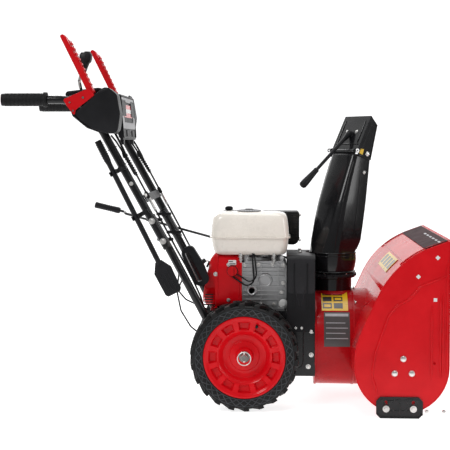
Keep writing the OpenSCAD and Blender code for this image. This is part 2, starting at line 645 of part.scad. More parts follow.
module fold_bolts() at_axle() color(steel) {
    for (s = [-1, 1]) handle_bolt(s, on_line(0, 0));
    // eyelet on the left pivot that carries the chute crank
    e = unit(crank_end - crank_start);
    eye = crank_start + (fold_x - crank_start.x) / e.x * e;
    difference() {
        union() {
            rod(eye - 2.5 * e, eye + 2.5 * e, 9);
            block([fold_x - 5, 208, fold_z - 6], [fold_x + 5, 213, eye.z - 2]);
            block([fold_x - 2, 208, eye.z - 6], [fold_x + 2, eye.y - 6, eye.z + 4]);
        }
        rod(crank_end, crank_start, 4.35);
    }
}
module upper_tube(s) {
    difference() {
        rod(on_line(-25, s * tube_y_pos), on_line(355, s * tube_y_pos), tube_r);
        for (l = [0, 70]) translate(on_line(l, 0)) bar_y(4 + fit_gap, -250, 250);
    }
    cable(upper_bend(s), tube_r + 0.4, 24);
}
module upper_tube_right() at_axle() color(black) {
    upper_tube(-1);
    // spring clips that hold the clean-out tool
    for (l = [190, 340]) translate(tool_at(l)) rotate([0, -28.9, 0]) difference() {
        union() {
            block([-12, -12, -7], [12, 14, 7]);
            block([-12, 9.5, -7], [40, 14, 7]);
            block([26, 9.5, -7], [40, 24, 7]);
        }
        translate([0, 0, -20]) cylinder(r = 8 + gap, h = 40);
        block([-8 - gap, -30, -20], [8 + gap, 0, 20]);
    }
}
module upper_tube_left() at_axle() color(black) upper_tube(1);
module handle_brace() at_axle() color([0.3, 0.3, 0.31]) {
    translate([16.4, 0, 0]) translate(on_line(148, 0)) rotate([0, -28.9, 0])
        block([-1.5, -tube_y_pos, -13], [1.5, tube_y_pos, 13]);
}
console_line = [[-546, 966, 10], [-522, 892, 14], [-478, 856, 24], [-440, 842, 20], [-388, 838, 4], [-396,
    962, 8],
    [-440, 978, 30]];
console_hollow = [[-541, 963, 8], [-518, 894, 12], [-476, 859.5, 22], [-440, 845.5, 18], [-386, 841.5, 2],
    [-386, 959, 4], [-441, 974.5, 28]];
module console_shell() at_axle() color(black) difference() {
    slab(rounded(console_line), -222, 222);
    slab(rounded(console_hollow), -218.5, 218.5);
    for (s = [-1, 1]) cable(upper_bend(s), tube_r + 0.9, 24);
    // gate of the shift lever, and holes of the lever pivots
    block([-552, -70, 950], [-500, -50, 990]);
    translate([-478, 0, 950]) bar_y(4, -240, 240);
}
module console_fascia() at_axle() color([0.1, 0.1, 0.11]) {
    difference() {
        slab([[-392, 830], [-385.5, 822], [-378, 822], [-388, 962], [-394, 958]], -150, 150);
        slab(rounded(console_line), -222, 222);
    }
    for (y = [-140, 60]) slab([[-389.5, 946], [-383, 946], [-379.5, 896], [-384, 896]], y, y + 80);
    for (y = [-120, 100]) block([-392, y, 806], [-380, y + 20, 823]);
}
module handle_grips() at_axle() color([0.07, 0.07, 0.08]) for (s = [-1, 1]) translate([0, s * 262,
    grip_z]) difference() {
    union() { bar_x(18.5, -727, -600); bar_x(22, -600, -590); for (x = [-718:12:-612]) bar_x(19.3, x,
        x + 6); }
    bar_x(tube_r + 0.7, -664.3, -580);
}
// Hand lever: strip with finger bumps above, pivot plate below
module clutch_lever(s) {
    y = s * lever_y;
    function strip(z) = -462 - (z - 963) * 80 / 170;
    difference() {
        union() {
            slab(rounded([[-541, 934, 6], [-500, 926, 4], [-468, 936, 6], [-447, 956, 6], [-452, 966, 6],
                [-474, 966, 8], [-500, 944, 20]]),
                s > 0 ? 276 : -281, s > 0 ? 281 : -276);
            slab(rounded([[strip(956) - 4, 956, 3], [strip(956) + 14, 960, 4], [strip(1133) + 12, 1126, 5],
                [strip(1133) + 4, 1133, 4], [strip(1133) - 6, 1129, 5]]), s > 0 ? 247 : -281,
                    s > 0 ? 281 : -247);
            for (z = [1000, 1030, 1060, 1090]) translate([strip(z) + 10, 0, z]) bar_y(6,
                s > 0 ? 247 : -281, s > 0 ? 281 : -247);
        }
        translate([-478, 0, 950]) bar_y(4 + fit_gap, -300, 300);
    }
}
module clutch_lever_right() at_axle() color(red) clutch_lever(-1);
module clutch_lever_left() at_axle() color(red) clutch_lever(1);
// Lock bolts of the handle, and the pivots of the hand levers
module handle_bolts() at_axle() color(steel) for (s = [-1, 1]) {
    handle_bolt(s, on_line(70, 0));
    translate([-478, 0, 950]) {
        bar_y(4, s > 0 ? 214 : -284, s > 0 ? 284 : -214);
        bar_y(8, s > 0 ? 281.3 : -285, s > 0 ? 285 : -281.3);
        bar_y(9, s > 0 ? 222 : -275.7, s > 0 ? 275.7 : -222);
    }
}
module shift_lever() at_axle() color(black) translate([-512, -60, 925]) {
    bar_y(9, -7, 7);
    bent([[0, 0, 0], [-18, 0, 83], [-9, 0, 109]], 4.5);
    hull() for (p = [[-10, 105, 12], [-4, 133, 17], [7, 163, 16], [8, 173, 10]]) translate([p.x, 0,
        p.y]) cylinder(r = p.z, h = 2, $fn = 8);
}
function tool_at(l) = [-262 - 0.448 * (l - 40), -226, 452 + 0.894 * (l - 40)];
module cleanout_tool() at_axle() color([0.09, 0.09, 0.1]) {
    rod(tool_at(30), tool_at(445), 8);
    rod(tool_at(385), tool_at(448), 10);
    // shovel blade
    translate(tool_at(0)) rotate([0, -26.6, 0]) slab([[-10, 40], [-28, 10], [-26, -62], [-20, -70], [20,
        -70], [26, -62], [28, 10], [10, 40]], -4, 4);
}
module clutch_cables() at_axle() color([0.08, 0.08, 0.08]) {
    for (y = [-1, 1]) cable([for (p = cable_route) [p.x, y < 0 ? p.y : -p.y - 4, p.z]], 3);
}

chassis_frame();
bottom_cover();
shaft_bushes();
impeller_drum();
auger_hood();
side_plate_right();
side_plate_left();
scraper_blade();
housing_bolts();
auger_gearbox();
belt_cover();
drive_belts();
drive_chain();
engine_block();
engine_cylinder();
blower_housing();
recoil_cover();
fuel_tank();
muffler();
air_cleaner();
lower_tube_right();
lower_tube_left();
fold_bolts();
handle_bolts();
drive_axle();
rim_right();
rim_left();
tyre_right();
tyre_left();
linchpins();
friction_shaft();
drive_disc();
crankshaft();
impeller_fan();
impeller_shaft();
impeller_pulley();
auger_shaft();
auger_flight_right();
auger_flight_left();
chute_channel();
chute_ring();
deflector();
deflector_lever();
chute_crank();
upper_tube_right();
upper_tube_left();
handle_brace();
console_shell();
console_fascia();
handle_grips();
clutch_lever_right();
clutch_lever_left();
shift_lever();
skid_shoe_right();
skid_shoe_left();
recoil_grip();
fuel_cap();
cleanout_tool();
engine_switch();
clutch_cables();
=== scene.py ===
"""Two stage snowblower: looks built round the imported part. Lengths are in mm, X from the wheel axle."""
import json
from math import cos, degrees, pi, radians, sin, tan

import bmesh
import bpy
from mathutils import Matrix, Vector


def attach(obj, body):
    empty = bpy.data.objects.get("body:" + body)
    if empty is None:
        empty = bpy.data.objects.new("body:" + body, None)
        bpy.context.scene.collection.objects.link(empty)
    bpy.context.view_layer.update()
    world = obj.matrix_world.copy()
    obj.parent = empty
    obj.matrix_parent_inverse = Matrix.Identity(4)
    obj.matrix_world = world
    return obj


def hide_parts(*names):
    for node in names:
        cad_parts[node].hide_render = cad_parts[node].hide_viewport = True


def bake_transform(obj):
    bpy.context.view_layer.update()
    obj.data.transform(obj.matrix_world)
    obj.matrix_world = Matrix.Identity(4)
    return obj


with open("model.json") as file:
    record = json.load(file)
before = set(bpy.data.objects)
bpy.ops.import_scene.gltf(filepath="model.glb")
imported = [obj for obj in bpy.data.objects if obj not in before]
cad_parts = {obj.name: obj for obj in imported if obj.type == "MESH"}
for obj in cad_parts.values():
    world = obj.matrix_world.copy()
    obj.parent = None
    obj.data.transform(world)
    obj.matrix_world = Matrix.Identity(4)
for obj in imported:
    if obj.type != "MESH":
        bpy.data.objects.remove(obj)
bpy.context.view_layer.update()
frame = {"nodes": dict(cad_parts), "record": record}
NODES = frame["nodes"]
AXLE = 60.5  # mm from the frame's origin to the wheel axle
HUB_Z = 165  # wheel axle above the ground
TRACK = 215  # middle of a tyre from the machine's middle
AUGER_X, AUGER_Z = 470, 147  # auger's shaft
DRUM_Z = 190  # impeller's axis
NECK_X = 277  # axis on which the chute turns
DRUM_R = 153  # outside of the impeller drum
SIDES = ((-1, "right"), (1, "left"))
PLATE_Y = 305  # outer face of the intake's side plates
HINGE_Z = 787  # deflector's pin
GRIP_Y, GRIP_Z = 262, 940  # middle line of a handle grip


def row(p):
    """Point in the frame, in metres, from mm measured from the wheel axle."""
    return Vector(((p[0] + AXLE) / 1000, p[1] / 1000, p[2] / 1000))


# ---- Materials ----
def noise(t, scale, detail, rough, coord):
    """Noise texture read at a coordinate."""
    n = t.nodes.new("ShaderNodeTexNoise")
    for k, v in (("Scale", scale), ("Detail", detail), ("Roughness", rough)):
        n.inputs[k].default_value = v
    t.links.new(coord, n.inputs["Vector"])
    return n.outputs["Fac"]


def ramp(t, source, lo, hi, a, b):
    """Maps a value from lo..hi to a..b."""
    n = t.nodes.new("ShaderNodeMapRange")
    for k, v in (("From Min", lo), ("From Max", hi), ("To Min", a), ("To Max", b)):
        n.inputs[k].default_value = v
    t.links.new(source, n.inputs["Value"])
    return n.outputs["Result"]


def blend_colour(t, fac, a, b):
    """Mix of two colours, each given or linked."""
    n = t.nodes.new("ShaderNodeMix")
    n.data_type = "RGBA"
    t.links.new(fac, n.inputs[0])
    for i, c in ((6, a), (7, b)):
        if isinstance(c, (tuple, list)):
            n.inputs[i].default_value = (*c[:3], 1)
        else:
            t.links.new(c, n.inputs[i])
    return n.outputs[2]


MAT = {}


def material(name, colour, rough=0.5, metal=0.0, coat=0.0, grain=(400, 0.1, 0.0002), vary=0.12, rvar=0.12,
             wear=None, dust=0.0, stretch=(1, 1, 1), specular=0.5):
    """Principled shader with a fine grain, a broad drift of tone, worn edges and dust on what faces up."""
    m = bpy.data.materials.new(name)
    m.use_nodes = True
    t = m.node_tree
    shader = t.nodes["Principled BSDF"]
    place = t.nodes.new("ShaderNodeTexCoord").outputs["Object"]
    mapped = t.nodes.new("ShaderNodeMapping")
    mapped.inputs["Scale"].default_value = stretch
    t.links.new(place, mapped.inputs["Vector"])
    fine = noise(t, grain[0], 5, 0.6, mapped.outputs["Vector"])
    broad = noise(t, 9, 4, 0.6, place)
    low = [c * (1 - vary) for c in colour]
    high = [min(1, c * (1 + vary) + 0.004) for c in colour]
    tone = blend_colour(t, ramp(t, broad, 0.3, 0.7, 0, 1), low, high)
    if dust:
        # dust that settles on what faces up
        up = t.nodes.new("ShaderNodeSeparateXYZ")
        t.links.new(t.nodes.new("ShaderNodeNewGeometry").outputs["Normal"], up.inputs[0])
        lying = t.nodes.new("ShaderNodeMath")
        lying.operation = "MULTIPLY"
        t.links.new(ramp(t, up.outputs["Z"], 0.2, 1, 0, dust), lying.inputs[0])
        t.links.new(ramp(t, noise(t, 40, 6, 0.7, place), 0.35, 0.7, 0.2, 1), lying.inputs[1])
        tone = blend_colour(t, lying.outputs[0], tone, (0.42, 0.4, 0.37))
    if wear:
        edge = t.nodes.new("ShaderNodeNewGeometry").outputs["Pointiness"]
        spots = t.nodes.new("ShaderNodeMath")
        spots.operation = "MULTIPLY"
        t.links.new(ramp(t, edge, 0.53, 0.6, 0, wear[0]), spots.inputs[0])
        t.links.new(ramp(t, noise(t, 70, 5, 0.7, place), 0.45, 0.65, 0, 1), spots.inputs[1])
        tone = blend_colour(t, spots.outputs[0], tone, wear[1])
    t.links.new(tone, shader.inputs["Base Color"])
    t.links.new(ramp(t, noise(t, 23, 5, 0.65, place), 0.3, 0.7, max(0.02, rough - rvar / 2),
                     rough + rvar / 2),
                shader.inputs["Roughness"])
    shader.inputs["Metallic"].default_value = metal
    shader.inputs["Specular IOR Level"].default_value = specular
    if coat:
        shader.inputs["Coat Weight"].default_value = coat
        shader.inputs["Coat Roughness"].default_value = 0.08
    bump = t.nodes.new("ShaderNodeBump")
    bump.inputs["Strength"].default_value = grain[1]
    bump.inputs["Distance"].default_value = grain[2]
    t.links.new(fine, bump.inputs["Height"])
    t.links.new(bump.outputs["Normal"], shader.inputs["Normal"])
    MAT[name] = m
    return m


material("red_paint", (0.62, 0.002, 0.007), 0.22, 0, 0.14, (260, 0.12, 0.0003), 0.1, 0.08,
         (0.25, (0.3, 0.02, 0.02)), 0.0, specular=0.12)
# darker copy of the red paint: painted shade on the impeller drum and its lips
material("red_paint_shaded", (0.4, 0.002, 0.006), 0.26, 0, 0.14, (240, 0.2, 0.0003), 0.14, 0.1, specular=0.12)
material("black_paint", (0.006, 0.006, 0.007), 0.28, 0, 0.3, (420, 0.16, 0.0002), 0.25, 0.12,
         (0.3, (0.08, 0.08, 0.08)), 0.01, specular=0.2)
material("chute_black", (0.005, 0.005, 0.006), 0.17, 0, 0.3, (120, 0.1, 0.0004), 0.25, 0.08, specular=0.2)
material("cream_paint", (0.9, 0.84, 0.76), 0.27, 0, 0.6, (300, 0.08, 0.0003), 0.05, 0.1)
material("heat_black", (0.012, 0.0115, 0.0115), 0.5, 0.1, 0, (500, 0.35, 0.0004), 0.3, 0.15,
         (0.5, (0.13, 0.11, 0.1)), 0.02, specular=0.2)
material("red_plastic", (0.58, 0.003, 0.007), 0.34, 0, 0.05, (520, 0.2, 0.0002), 0.08, 0.1, specular=0.15)
material("black_plastic", (0.01, 0.01, 0.0115), 0.4, 0, 0, (900, 0.4, 0.00025), 0.2, 0.14, None, 0.01,
         specular=0.16)
material("dark_panel", (0.02, 0.02, 0.0225), 0.45, 0, 0, (1100, 0.5, 0.0003), 0.2, 0.1, None, 0.01,
         specular=0.2)
material("zinc", (0.72, 0.71, 0.69), 0.3, 1, 0, (180, 0.15, 0.0002), 0.14, 0.2, None, 0.0, (1, 8, 1))
material("chain_steel", (0.3, 0.28, 0.25), 0.45, 1, 0, (300, 0.4, 0.0004), 0.25, 0.2)
material("cast_alloy", (0.5, 0.5, 0.505), 0.4, 0.9, 0, (330, 0.6, 0.0006), 0.16, 0.16, None, 0.06)
material("iron", (0.2, 0.19, 0.18), 0.5, 0.9, 0, (250, 0.6, 0.0006), 0.25, 0.2)
material("bronze", (0.42, 0.31, 0.17), 0.42, 1, 0, (500, 0.3, 0.0003), 0.15, 0.15)
material("rubber", (0.009, 0.009, 0.0095), 0.55, 0, 0, (700, 0.45, 0.0004), 0.2, 0.15, None, 0.01,
         specular=0.15)
material("tyre", (0.0085, 0.0085, 0.0088), 0.5, 0, 0, (260, 0.4, 0.0006), 0.25, 0.2, None, 0.015,
         specular=0.2)
material("grey_plastic", (0.3, 0.3, 0.31), 0.4, 0, 0, (700, 0.25, 0.0002), 0.08, 0.1)
material("plate_grey", (0.07, 0.065, 0.065), 0.35, 0.2, 0.1, (300, 0.1, 0.0001), 0.1, 0.1)
material("band_maroon", (0.03, 0.003, 0.006), 0.5, 0, 0, (300, 0.05, 0.0001), 0.2, 0.1, specular=0.05)
# lighter, bluish copy of the tyre's rubber: painted sheen on the side wall's ribs
material("rib_rubber_sheen", (0.03, 0.034, 0.038), 0.4, 0, 0, (400, 0.3, 0.0003), 0.2, 0.15, specular=0.4)
# near-black: painted shade inside slots and louvres
material("slot_shade_black", (0.004, 0.004, 0.004), 0.8, 0, 0, (300, 0.2, 0.0003), 0.2, 0.1)
# labels carry no writing
for name, colour, rough, metal, coat, bumps, vary in (
        ("label_yellow", (0.75, 0.47, 0.01), 0.3, 0, 0.2, 0.05, 0.06),
        ("label_red", (0.6, 0.02, 0.03), 0.3, 0, 0.3, 0.05, 0.08),
        ("label_dark", (0.03, 0.028, 0.03), 0.3, 0, 0.3, 0.05, 0.1),
        ("label_white", (0.75, 0.75, 0.74), 0.35, 0, 0.1, 0.05, 0.05),
        ("label_silver", (0.42, 0.42, 0.44), 0.4, 0.5, 0.1, 0.1, 0.1)):
    material(name, colour, rough, metal, coat, (300, bumps, 0.0001), vary, 0.1)


# ---- Mesh and outline tools ----
def circle(n):
    """Angles of n equal steps round a turn."""
    return [2 * pi * i / n for i in range(n)]


def spaced(a, b, n):
    """Values from a to b in n equal steps."""
    return [a + (b - a) * i / n for i in range(n + 1)]


def unit(v):
    return Vector(v).normalized()


def arc_path(points, radius, steps=8):
    """Open line with its corners rounded to the radius, or to one radius each."""
    p = [Vector(q) for q in points]
    out = [p[0]]
    many = radius if isinstance(radius, tuple) else (radius,) * len(p)
    for a, b, c, wanted in zip(p, p[1:], p[2:], many):
        u, v = (a - b).normalized(), (c - b).normalized()
        half = u.angle(v) / 2
        if half > 1.55:
            out.append(b)
            continue
        most = 0.8 if isinstance(radius, tuple) else 0.48
        run = min(wanted / tan(half), (a - b).length * most, (c - b).length * most)
        centre = b + (u + v).normalized() * (run / cos(half))
        s, e = b + u * run - centre, b + v * run - centre
        sweep = s.angle(e)
        out += [centre + (s * sin((1 - k / steps) * sweep) + e * sin(k / steps * sweep)) / sin(sweep)
                for k in range(steps + 1)]
    out.append(p[-1])
    return out


def resample(points, step):
    out, carry = [points[0].copy()], 0
    for a, b in zip(points, points[1:]):
        n = max(1, round((b - a).length / step))
        out += [a.lerp(b, (i + 1) / n) for i in range(n)]
    return out


class Build:
    """Gathers closed forms, in mm from the axle, into one mesh."""

    def __init__(self):
        self.v, self.f = [], []

    def add(self, v, f):
        k = len(self.v)
        self.v += [Vector(p) for p in v]
        self.f += [tuple(i + k for i in g) for g in f]
        return self

    def rings(self, rings, caps=True, closed=False):
        n, k = len(rings[0]), len(rings)
        v = [p for r in rings for p in r]
        f = [(i * n + j, i * n + (j + 1) % n, (i + 1) % k * n + (j + 1) % n, (i + 1) % k * n + j)
             for i in range(k if closed else k - 1) for j in range(n)]
        if caps and not closed:
            f += [tuple(range(n - 1, -1, -1)), tuple(range((k - 1) * n, k * n))]
        return self.add(v, f)

    def box(self, a, b):
        x0, y0, z0 = (min(p, q) for p, q in zip(a, b))
        x1, y1, z1 = (max(p, q) for p, q in zip(a, b))
        return self.rings([[(x0, y0, z), (x1, y0, z), (x1, y1, z), (x0, y1, z)] for z in (z0, z1)])

    def slab(self, outline, y0, y1):
        """Outline in x and z, drawn from y0 to y1."""
        area = sum(a[0] * b[1] - b[0] * a[1] for a, b in zip(outline, outline[1:] + outline[:1]))
        o = outline if (area > 0) == (y1 < y0) else outline[::-1]
        return self.rings([[(x, y, z) for x, z in o] for y in (y0, y1)])

    def tube(self, path, r, sides=14, caps=True, closed=False):
        path = [Vector(p) for p in path]
        k = len(path)
        radii = r if isinstance(r, (list, tuple)) else [r] * k
        tang = []
        for i in range(k):
            a = path[(i - 1) % k] if closed or i else path[0]
            b = path[(i + 1) % k] if closed or i < k - 1 else path[-1]
            tang.append((b - a).normalized())
        side = tang[0].cross((0.21, 0.13, 1))
        if side.length < 0.1:
            side = tang[0].cross((1, 0.2, 0))
        side.normalize()
        rings = []
        for i in range(k):
            side = (side - tang[i] * side.dot(tang[i])).normalized()
            w = tang[i].cross(side)
            rings.append([path[i] + radii[i] * (side * cos(a) + w * sin(a)) for a in circle(sides)])
        return self.rings(rings, caps, closed)

    def cord(self, route, corner, step, r, sides=10, steps=8):
        """Tube along a route of given points with rounded corners."""
        return self.tube(resample(arc_path(route, corner, steps), step), r, sides)

    def rod(self, a, b, r, r2=None, sides=24):
        return self.tube([a, b], [r, r if r2 is None else r2], sides)

    def lathe(self, centre, axis, profile, sides=48, closed=None):
        """Profile of (radius, place on the axis) turned round; one that ends on the axis is solid."""
        if closed is None:
            closed = min(profile[0][0], profile[-1][0]) > 0.1
        axis = unit(axis)
        u = axis.cross((0.21, 0.13, 1))
        u = (u if u.length > 0.2 else axis.cross((1, 0.2, 0))).normalized()
        w = axis.cross(u)
        c = Vector(centre)
        rings = [[c + axis * h + r * (u * cos(a) + w * sin(a)) for a in circle(sides)] for r, h in profile]
        return self.rings(rings, caps=not closed, closed=closed)

    def hexagon(self, c, axis, r, h):
        axis = unit(axis)
        return self.lathe(c, axis, [(r * 0.9, 0), (r, h * 0.1), (r, h * 0.75), (r * 0.82, h)], 6,
                          closed=False)

    def screw(self, c, axis, r, h=None, washer=True):
        """Hexagon head on a washer, seated at c."""
        axis = unit(axis)
        h = h or r * 0.7
        if washer:
            self.lathe(c, axis, [(r * 1.35, 0), (r * 1.35, r * 0.18), (r * 0.7, r * 0.2)], 24, closed=False)
        self.hexagon(Vector(c) + axis * r * 0.2, axis, r, h)
        return self.lathe(Vector(c) + axis * (h + r * 0.2), axis, [(r * 0.6, -0.2), (r * 0.5, r * 0.1)],
                          16, closed=False)

    def ridges(self, centre, flat, n, low, high, ra, rb):
        """Short rods round an upright or sideways axis; low and high are (radius, place on it)."""
        for a in circle(n):
            ends = []
            for r, h in (low, high):
                u, w = centre[0] + r * cos(a), centre[1] + r * sin(a)
                ends.append((u, w, h) if flat else (u, h, w))
            self.rod(*ends, ra, rb, 8)

    def dome(self, c, axis, r, h):
        profile = [(r, 0), (r, h * 0.25), (r * 0.85, h * 0.7), (r * 0.5, h * 0.95), (0.05, h)]
        return self.lathe(c, axis, profile, 28, closed=False)


def piece(name, build, mat, body, replaces=(), bevel=0.0, smooth=38, slot=None, ride=True):
    """One mesh, with its finish, the body it rides on and the nodes it stands for."""
    mesh = bpy.data.meshes.new(name)
    mesh.from_pydata([row(p) for p in build.v], [], build.f)
    mesh.validate()
    work = bmesh.new()
    work.from_mesh(mesh)
    bmesh.ops.recalc_face_normals(work, faces=work.faces)
    work.to_mesh(mesh)
    work.free()
    mesh.polygons.foreach_set("use_smooth", [True] * len(mesh.polygons))
    mesh.set_sharp_from_angle(angle=radians(smooth))
    o = bpy.data.objects.new(name, mesh)
    bpy.context.scene.collection.objects.link(o)
    mesh.materials.append(MAT[mat])
    if bevel:
        b = o.modifiers.new("bevel", "BEVEL")
        b.width = bevel / 1000
        b.segments = 2
        b.limit_method = "ANGLE"
        b.angle_limit = radians(32)
        b.harden_normals = True
    if ride:
        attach(o, body)
    if replaces:
        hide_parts(*replaces)
    return o


def arcs(corners, r, n=6):
    """Closed outline of 2-D corners, rounded."""
    out, k = [], len(corners)
    for i in range(k):
        a, b, c = (Vector((*corners[(i + j) % k][:2], 0)) for j in (-1, 0, 1))
        u, v = (a - b).normalized(), (c - b).normalized()
        run = min(r / tan(u.angle(v) / 2), (a - b).length * 0.48, (c - b).length * 0.48)
        for j in range(n + 1):
            q = j / n
            s, e = b + u * run, b + v * run
            p = s.lerp(b, q).lerp(b.lerp(e, q), q)
            out.append((p.x, p.y))
    return out


def rounded_rect(x0, x1, y0, y1, r, n=7):
    """Closed outline of a rectangle with rounded corners."""
    out = []
    for cx, cy, a0 in ((x1 - r, y0 + r, -90), (x1 - r, y1 - r, 0), (x0 + r, y1 - r, 90),
                       (x0 + r, y0 + r, 180)):
        out += [(cx + r * cos(radians(a0 + 90 * i / n)), cy + r * sin(radians(a0 + 90 * i / n)))
                for i in range(n + 1)]
    return out


def layers(m, sections):
    """Stack of rounded rectangles: z, x0, x1, y0, y1, corner radius."""
    return m.rings([[(x, y, s[0]) for x, y in rounded_rect(*s[1:])] for s in sections])


# ---- Stage ----
def stage():
    """Camera, soft lights, and a floor that sweeps up into the backdrop."""
    scene = bpy.context.scene
    cam = bpy.data.objects.new("camera", bpy.data.cameras.new("camera"))
    scene.collection.objects.link(cam)
    cam.data.lens = 86.7
    cam.data.sensor_width = 36
    cam.data.shift_y = -0.05
    cam.location = (0.1573, -3.4872, 0.8034)
    cam.rotation_euler = (radians(90 - 3.017), 0, radians(2.738))
    scene.view_settings.view_transform = "Standard"
    scene.camera = cam
    world = bpy.data.worlds.new("world")
    world.use_nodes = True
    world.node_tree.nodes["Background"].inputs[0].default_value = (0.97, 0.975, 0.98, 1)
    world.node_tree.nodes["Background"].inputs[1].default_value = 0.3
    scene.world = world
    for name, place, aim, size, power in (
            ("key", (-1.9, -2.6, 3.1), (0, 0, 0.5), (1.4, 1.4), 58),
            ("top", (0.3, 0.2, 3.4), (0, 0, 0.4), (3.0, 1.6), 42),
            ("front", (3.0, -1.2, 1.6), (0.2, 0, 0.4), (0.5, 2.0), 20),
            ("back", (-1.6, 2.6, 2.4), (0, 0, 0.6), (1.6, 1.6), 30)):
        light = bpy.data.lights.new(name, "AREA")
        light.shape, light.size, light.size_y, light.energy = "RECTANGLE", size[0], size[1], power
        o = bpy.data.objects.new(name, light)
        o.location = place
        o.rotation_euler = (Vector(aim) - Vector(place)).to_track_quat("-Z", "Y").to_euler()
        scene.collection.objects.link(o)
    floor = bpy.data.meshes.new("floor")
    bend = [(4 + 2.5 * sin(a * pi / 24), 2.5 - 2.5 * cos(a * pi / 24)) for a in range(13)]
    line = [(-9, 0)] + bend + [(6.5, 9)]
    floor.from_pydata([(x, y, z) for y, z in line for x in (-12, 12)], [],
                      [(2 * i, 2 * i + 1, 2 * i + 3, 2 * i + 2) for i in range(len(line) - 1)])
    floor.polygons.foreach_set("use_smooth", [True] * len(floor.polygons))
    paper = material("floor", (0.6, 0.6, 0.605), 0.6, 0, 0, (60, 0.02, 0.0005), 0.01, 0.05, specular=0.1)
    # the sheet glows behind and under the object, and less in front of it
    t = paper.node_tree
    depth = t.nodes.new("ShaderNodeSeparateXYZ")
    t.links.new(t.nodes.new("ShaderNodeTexCoord").outputs["Object"], depth.inputs[0])
    t.nodes["Principled BSDF"].inputs["Emission Color"].default_value = (1, 1, 1, 1)
    t.links.new(ramp(t, depth.outputs["Y"], -1.5, -0.7, 0.1, 0.8),
                t.nodes["Principled BSDF"].inputs["Emission Strength"])
    floor.materials.append(paper)
    o = bpy.data.objects.new("floor", floor)
    scene.collection.objects.link(o)


stage()

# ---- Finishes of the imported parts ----
SLOT = {s["node"]: s["material_slot"] for s in frame["record"]["subparts"]}
# the impeller drum takes the darker copy of the red paint, painted shade
FINISH = {"impeller_drum": "red_paint_shaded", "chute_channel": "chute_black", "deflector": "chute_black",
          "drive_chain": "chain_steel",
          "console_fascia": "dark_panel", "handle_brace": "dark_panel"}
for node, o in NODES.items():
    o.data.materials.clear()
    o.data.materials.append(MAT[FINISH.get(node, SLOT[node])])
    weld = o.modifiers.new("weld", "WELD")
    weld.merge_threshold = 0.00001
    b = o.modifiers.new("bevel", "BEVEL")
    b.width, b.segments, b.limit_method = 0.0006, 2, "ANGLE"
    b.angle_limit = radians(40)
    b.use_clamp_overlap = True
    b.harden_normals = True


# ---- Wheels ----
def tyre(name, s):
    """Tyre with chevron lugs and crossing ribs on its side walls."""
    h, mid = 47, s * TRACK  # h: half the tyre's width
    side = [(125, h - 5), (129, h - 3), (134, h - 1.2), (141, h - 0.3), (148, h - 0.2), (153, h - 1.5),
            (156, h - 5), (154, h - 12), (153.4, 14), (153.6, 0)]
    profile = [(r, y) for r, y in side] + [(r, -y) for r, y in side[-2::-1]]
    profile += [(125, -h + 12), (146, -h + 10), (149, 0), (146, h - 10), (125, h - 12)]
    m = Build().lathe((0, mid, HUB_Z), (0, 1, 0), profile, 120)

    def at(a, r, y):
        return (r * cos(a), mid + y, HUB_Z + r * sin(a))

    def bar(line, width, low, high):
        """Lug whose foot and top follow the line of (angle, y) points; its walls lean in."""
        for part in range(len(line) - 1):
            (a0, y0), (a1, y1) = line[part], line[part + 1]
            rings = []
            for lift, w in ((low, width), (high, width * 0.72)):
                ring = []
                for a, y, q in ((a0, y0, -1), (a1, y1, -1), (a1, y1, 1), (a0, y0, 1)):
                    top = high if abs(y) < 38 else high - (abs(y) - 38) * 0.3
                    ring.append(at(a + q * w / 160 / 2, lift if lift == low else top, y))
                rings.append(ring)
            m.rings(rings)

    lugs = 22
    for a in circle(lugs):
        for q, shift in ((1, 0), (-1, pi / lugs)):
            # chevron lugs that run from the middle over the shoulder
            bar([(a + shift - 0.10, q * 3), (a + shift - 0.02, q * 18), (a + shift + 0.035, q * 32),
                 (a + shift + 0.045, q * 45.4)], 19, 151, 164.9)
            b = a + shift + 0.045
            m.rings([[at(b - 0.055, 147, q * 46.2), at(b + 0.055, 147, q * 46.2),
                      at(b + 0.055, 162.6, q * 44.4), at(b - 0.055, 162.6, q * 44.4)],
                     [at(b - 0.045, 149, q * 47), at(b + 0.045, 149, q * 47),
                      at(b + 0.045, 161.6, q * 46.6), at(b - 0.045, 161.6, q * 46.6)]])
            bar([(a + shift + 0.06, q * 2), (a + shift + 0.10, q * 12)], 8, 151, 162)
    piece(name, m, "tyre", "wheels", (name.replace("_look", ""),), smooth=30, slot="tyre")
    m = Build()
    for q in (-1, 1):
        # crossing ribs and beads of the side wall, sunk on the inner side to pass the handle's tube
        sunk = 0 if q == s else 1.6
        for a in circle(36):
            for turn in (-0.175, 0.175):
                m.tube([at(a + turn * k / 3, 129 + 18 * k / 3, q * (44.4 - sunk + (0, 1.6, 2.4, 2.7)[k]))
                        for k in range(4)], 1.5, 4)
        m.lathe((0, mid + q * (46.2 - sunk), HUB_Z), (0, 1, 0),
                [(148 + 1.2 * cos(k * 1.05), 1.3 * sin(k * 1.05)) for k in range(6)], 90)
        m.lathe((0, mid + q * 44, HUB_Z), (0, 1, 0),
                [(128 + 1.2 * cos(k * 1.05), 1.2 * sin(k * 1.05)) for k in range(6)], 90)
    # the ribs and beads take the lighter, bluish rubber, a painted sheen
    piece(name.replace("look", "ribs"), m, "rib_rubber_sheen", "wheels", smooth=30, slot="tyre")


